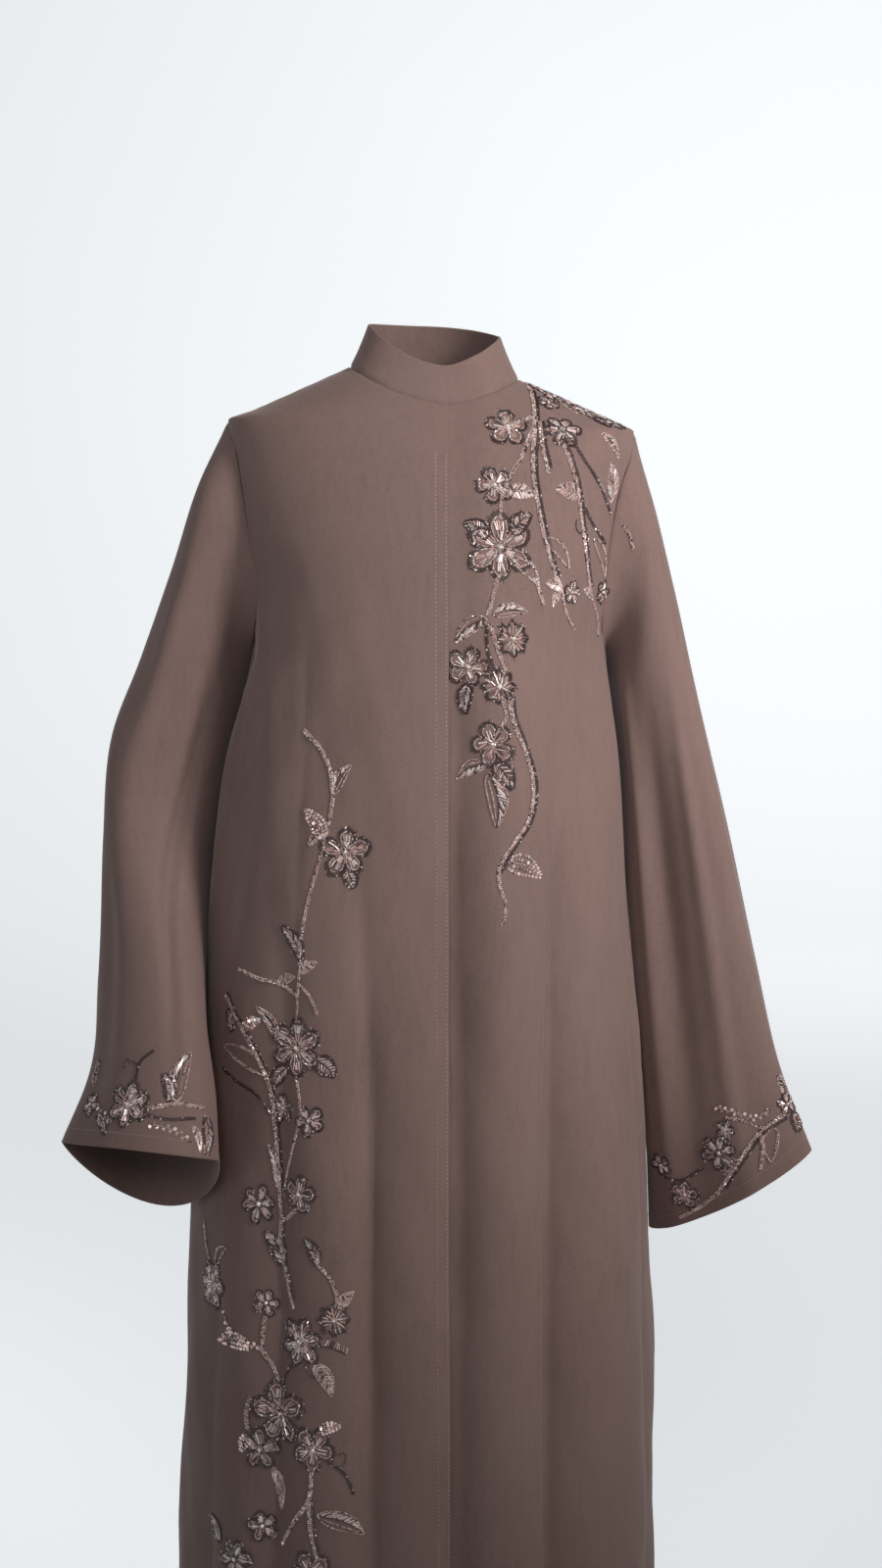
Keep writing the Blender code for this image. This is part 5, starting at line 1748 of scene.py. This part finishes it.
# ---- operators: cloth
class ABAYA_OT_fronts(bpy.types.Operator):
    """Sew the two fronts, the right one lapped over the left"""
    bl_idname = "abaya.fronts"
    bl_label = "Fronts"

    def execute(self, context):
        hems = {"first": FRONT_FACING, "bottom": cloth_settings().front_hem}
        sew_panel("right_front", front_cloth("right"), True, hems)
        sew_panel("left_front", front_cloth("left"), False, hems)
        return {"FINISHED"}


class ABAYA_OT_back(bpy.types.Operator):
    """Sew the back, cut in one piece"""
    bl_idname = "abaya.back"
    bl_label = "Back"

    def execute(self, context):
        sew_panel("back", back_cloth(), False, {"bottom": cloth_settings().front_hem})
        return {"FINISHED"}


class ABAYA_OT_sleeves(bpy.types.Operator):
    """Sew the two flared sleeves with their hemmed cuffs"""
    bl_idname = "abaya.sleeves"
    bl_label = "Sleeves"

    def execute(self, context):
        hem = {"bottom": cloth_settings().cuff_hem}
        sew_panel("right_sleeve", sleeve_cloth("right"), False, hem, closed=True)
        sew_panel("left_sleeve", sleeve_cloth("left"), True, hem, closed=True)
        return {"FINISHED"}


class ABAYA_OT_collar(bpy.types.Operator):
    """Sew the stand collar, its rounded end lapped at the centre front"""
    bl_idname = "abaya.collar"
    bl_label = "Collar"

    def execute(self, context):
        seams = {"top": COLLAR_DOUBLED, "first": COLLAR_END_SEAM, "last": COLLAR_END_SEAM}
        sew_panel("collar", collar_cloth(), False, seams)
        return {"FINISHED"}


def grid_row(grid, height_above, closed):
    """A line of points at a distance above the lower edge of a grid."""
    up = travelled(grid[::-1])
    line = [[np.interp(height_above, up[:, c], grid[::-1, c, k]) for k in range(3)]
            for c in range(grid.shape[1])]
    return np.array(line + line[:1] if closed else line)


class ABAYA_OT_topstitching(bpy.types.Operator):
    """Sew the stitches of the placket, the hem and the cuffs"""
    bl_idname = "abaya.topstitching"
    bl_label = "Topstitching"

    def execute(self, context):
        cloth = cloth_settings()
        front = front_cloth("right")
        across = travelled(front, 1)
        rows = Sewing(Ground((front, False)), 11)
        for inset in (cloth.placket, EDGE_STITCHING):
            line = [[np.interp(inset, across[r], front[r, :, k]) for k in range(3)]
                    for r in range(PLACKET_START, len(front) - PLACKET_STOP)]
            topstitch(rows, np.array(line), (0, -1, 0))
        self.finish_row("placket_stitching", rows)
        grids = [(front, False), (front_cloth("left"), False), (back_cloth(), False)]
        rows = Sewing(Ground(*grids), 12)
        for grid, _ in grids:
            line = grid_row(grid, cloth.front_hem, False)
            topstitch(rows, line, self.outwards(line))
        self.finish_row("hem_stitching", rows)
        for side in ("right", "left"):
            grid = sleeve_cloth(side)
            rows = Sewing(Ground((grid, True)), 13)
            line = grid_row(grid, cloth.cuff_hem, True)
            topstitch(rows, line, self.outwards(line))
            self.finish_row(side + "_cuff_stitching", rows)
        return {"FINISHED"}

    @staticmethod
    def outwards(line):
        """Directions out from the middle of a line, one for each of its stitches."""
        places, _ = paced(line, cloth_settings().stitch)
        return places - line.mean(axis=0)

    @staticmethod
    def finish_row(name, rows):
        """Puts a row of stitches into the scene as one piece."""
        piece = hang(name, rows.mesh(name), [thread()])


# ---- operators: beadwork
class ABAYA_OT_shoulder_spray(bpy.types.Operator):
    """Bead the spray that falls from the left shoulder"""
    bl_idname = "abaya.shoulder_spray"
    bl_label = "Shoulder Spray"

    def execute(self, context):
        spray = Spray(on_body_left(), 21).draw(SHOULDER_SPRAY)
        spray.face("above").draw(SHOULDER_BAND)
        spray.finish("shoulder_spray")
        return {"FINISHED"}


class ABAYA_OT_front_chain(bpy.types.Operator):
    """Bead the chain of flowers down the left front"""
    bl_idname = "abaya.front_chain"
    bl_label = "Front Chain"

    def execute(self, context):
        ground = Ground((front_cloth("left"), False))
        Spray(ground, 22).draw(FRONT_CHAIN).finish("front_chain")
        return {"FINISHED"}


class ABAYA_OT_climbing_vine(bpy.types.Operator):
    """Bead the vine that climbs the right front"""
    bl_idname = "abaya.climbing_vine"
    bl_label = "Climbing Vine"

    def execute(self, context):
        ground = Ground((front_cloth("right"), False), (back_cloth(), False))
        Spray(ground, 23).draw(UPPER_VINE).finish("upper_vine")
        Spray(ground, 24).draw(LOWER_VINE).finish("lower_vine")
        return {"FINISHED"}


class ABAYA_OT_cuff_sprays(bpy.types.Operator):
    """Bead both cuffs, front and back"""
    bl_idname = "abaya.cuff_sprays"
    bl_label = "Cuff Sprays"

    def execute(self, context):
        for side, seed, front, back in (("right", 25, RIGHT_CUFF_FRONT, RIGHT_CUFF_BACK),
                                        ("left", 26, LEFT_CUFF_FRONT, LEFT_CUFF_BACK)):
            spray = Spray(Ground((sleeve_cloth(side), True)), seed).draw(front)
            spray.face("behind").draw(back)
            spray.finish(side + "_cuff_spray")
        return {"FINISHED"}


# ---- operators: stage
FLOOR_FLAT, FLOOR_BEND, WALL_RISE, FLOOR_SIDES = 6.6, 2.4, 3.2, 96
Lamp = namedtuple("Lamp", "name place aim size spread colour")
LAMPS = (
    Lamp("key", (2.45, -1.95, 1.0), (0.32, 0.0, -0.12), 1.3, 28, (1.0, 0.97, 0.95)),
    Lamp("fill", (-0.1, -3.1, 1.0), (0.20, 0.0, -0.12), 1.3, 28, (0.96, 0.98, 1.0)),
    Lamp("back", (1.6, 2.0, 2.0), (1.2, 9.0, 0.2), 2.0, 90, (1.0, 1.0, 1.0)),
)
AIR_COLOUR, AIR_STRENGTH = (0.93, 0.965, 1.0, 1.0), 0.20
CAMERA_PLACE, CAMERA_TILT = (0.0045, -2.5, -0.112), math.radians(84)


class ABAYA_OT_stage(bpy.types.Operator):
    """Set the floor, the lights and the camera"""
    bl_idname = "abaya.stage"
    bl_label = "Stage"

    def execute(self, context):
        self.floor(context)
        self.lights(context)
        self.camera(context)
        return {"FINISHED"}

    @staticmethod
    def floor(context):
        """A round floor that curves up into a wall, centred on the garment."""
        level = HEM_HEIGHT - stage_settings().floor_drop
        curve = [(FLOOR_FLAT + FLOOR_BEND * math.sin(a), level + FLOOR_BEND * (1 - math.cos(a)))
                 for a in np.linspace(0, math.pi / 2, 15)]
        profile = [(0.001, level)] + [(FLOOR_FLAT * k / 4, level) for k in range(1, 4)] + curve
        profile.append((FLOOR_FLAT + FLOOR_BEND, level + FLOOR_BEND + WALL_RISE))
        points, quads, caps = turned([(z, r) for r, z in profile], FLOOR_SIDES)
        points = points[:, [1, 2, 0]]
        mesh = faces_mesh("studio_floor", points, [quads[:, ::-1], caps[:1]])
        mesh.materials.append(studio_floor())
        floor = bpy.data.objects.new("studio_floor", mesh)
        floor.visible_diffuse = False
        context.scene.collection.objects.link(floor)

    @staticmethod
    def lights(context):
        """Soft lamps in front and behind, and pale air all round."""
        for lamp in LAMPS:
            light = bpy.data.lights.new(lamp.name, "AREA")
            light.shape = "DISK"
            light.size = lamp.size
            light.spread = math.radians(lamp.spread)
            light.energy = getattr(stage_settings(), lamp.name)
            light.color = lamp.colour
            stand = bpy.data.objects.new(lamp.name, light)
            stand.location = lamp.place
            stand.rotation_mode = "QUATERNION"
            toward = Vector(lamp.aim) - Vector(lamp.place)
            stand.rotation_quaternion = toward.to_track_quat("-Z", "Y")
            context.scene.collection.objects.link(stand)
        world = bpy.data.worlds.new("studio_air")
        world.use_nodes = True
        air = world.node_tree.nodes["Background"]
        air.inputs["Color"].default_value = AIR_COLOUR
        air.inputs["Strength"].default_value = AIR_STRENGTH
        context.scene.world = world
        context.scene.view_settings.view_transform = "Standard"

    @staticmethod
    def camera(context):
        """A camera straight in front, tilted down a little."""
        camera = bpy.data.cameras.new("camera")
        camera.sensor_width = 36.0
        camera.lens = stage_settings().lens
        camera.clip_end = 60.0
        stand = bpy.data.objects.new("camera", camera)
        stand.location = CAMERA_PLACE
        stand.rotation_euler = (CAMERA_TILT, 0.0, 0.0)
        context.scene.collection.objects.link(stand)
        context.scene.camera = stand


# ---- panel and registration
OPERATORS = (ABAYA_OT_fronts, ABAYA_OT_back, ABAYA_OT_sleeves, ABAYA_OT_collar,
             ABAYA_OT_topstitching, ABAYA_OT_shoulder_spray, ABAYA_OT_front_chain,
             ABAYA_OT_climbing_vine, ABAYA_OT_cuff_sprays, ABAYA_OT_stage)
SETTINGS = (AbayaClothSettings, AbayaBeadSettings, AbayaStageSettings)


class ABAYA_PT_workroom(bpy.types.Panel):
    """Every step of the cloak, with its settings"""
    bl_label = "Abaya Cloak"
    bl_idname = "ABAYA_PT_workroom"
    bl_space_type = "VIEW_3D"
    bl_region_type = "UI"
    bl_category = "Abaya"

    def draw(self, context):
        for operator in OPERATORS:
            self.layout.operator(operator.bl_idname)
        for settings in (cloth_settings(), bead_settings(), stage_settings()):
            box = self.layout.box()
            for name in settings.__annotations__:
                box.prop(settings, name)


def register():
    """Makes the settings, the operators and the panel known."""
    for group in (*SETTINGS, *OPERATORS, ABAYA_PT_workroom):
        bpy.utils.register_class(group)
    bpy.types.Scene.abaya_cloth = bpy.props.PointerProperty(type=AbayaClothSettings)
    bpy.types.Scene.abaya_beads = bpy.props.PointerProperty(type=AbayaBeadSettings)
    bpy.types.Scene.abaya_stage = bpy.props.PointerProperty(type=AbayaStageSettings)


def unregister():
    """Takes them away again."""
    for name in ("abaya_cloth", "abaya_beads", "abaya_stage"):
        delattr(bpy.types.Scene, name)
    for group in reversed((*SETTINGS, *OPERATORS, ABAYA_PT_workroom)):
        bpy.utils.unregister_class(group)


def main():
    """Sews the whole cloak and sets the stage."""
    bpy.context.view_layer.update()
    register()
    for step in OPERATORS:
        group, name = step.bl_idname.split(".")
        getattr(getattr(bpy.ops, group), name)()


if __name__ == "__main__":
    main()
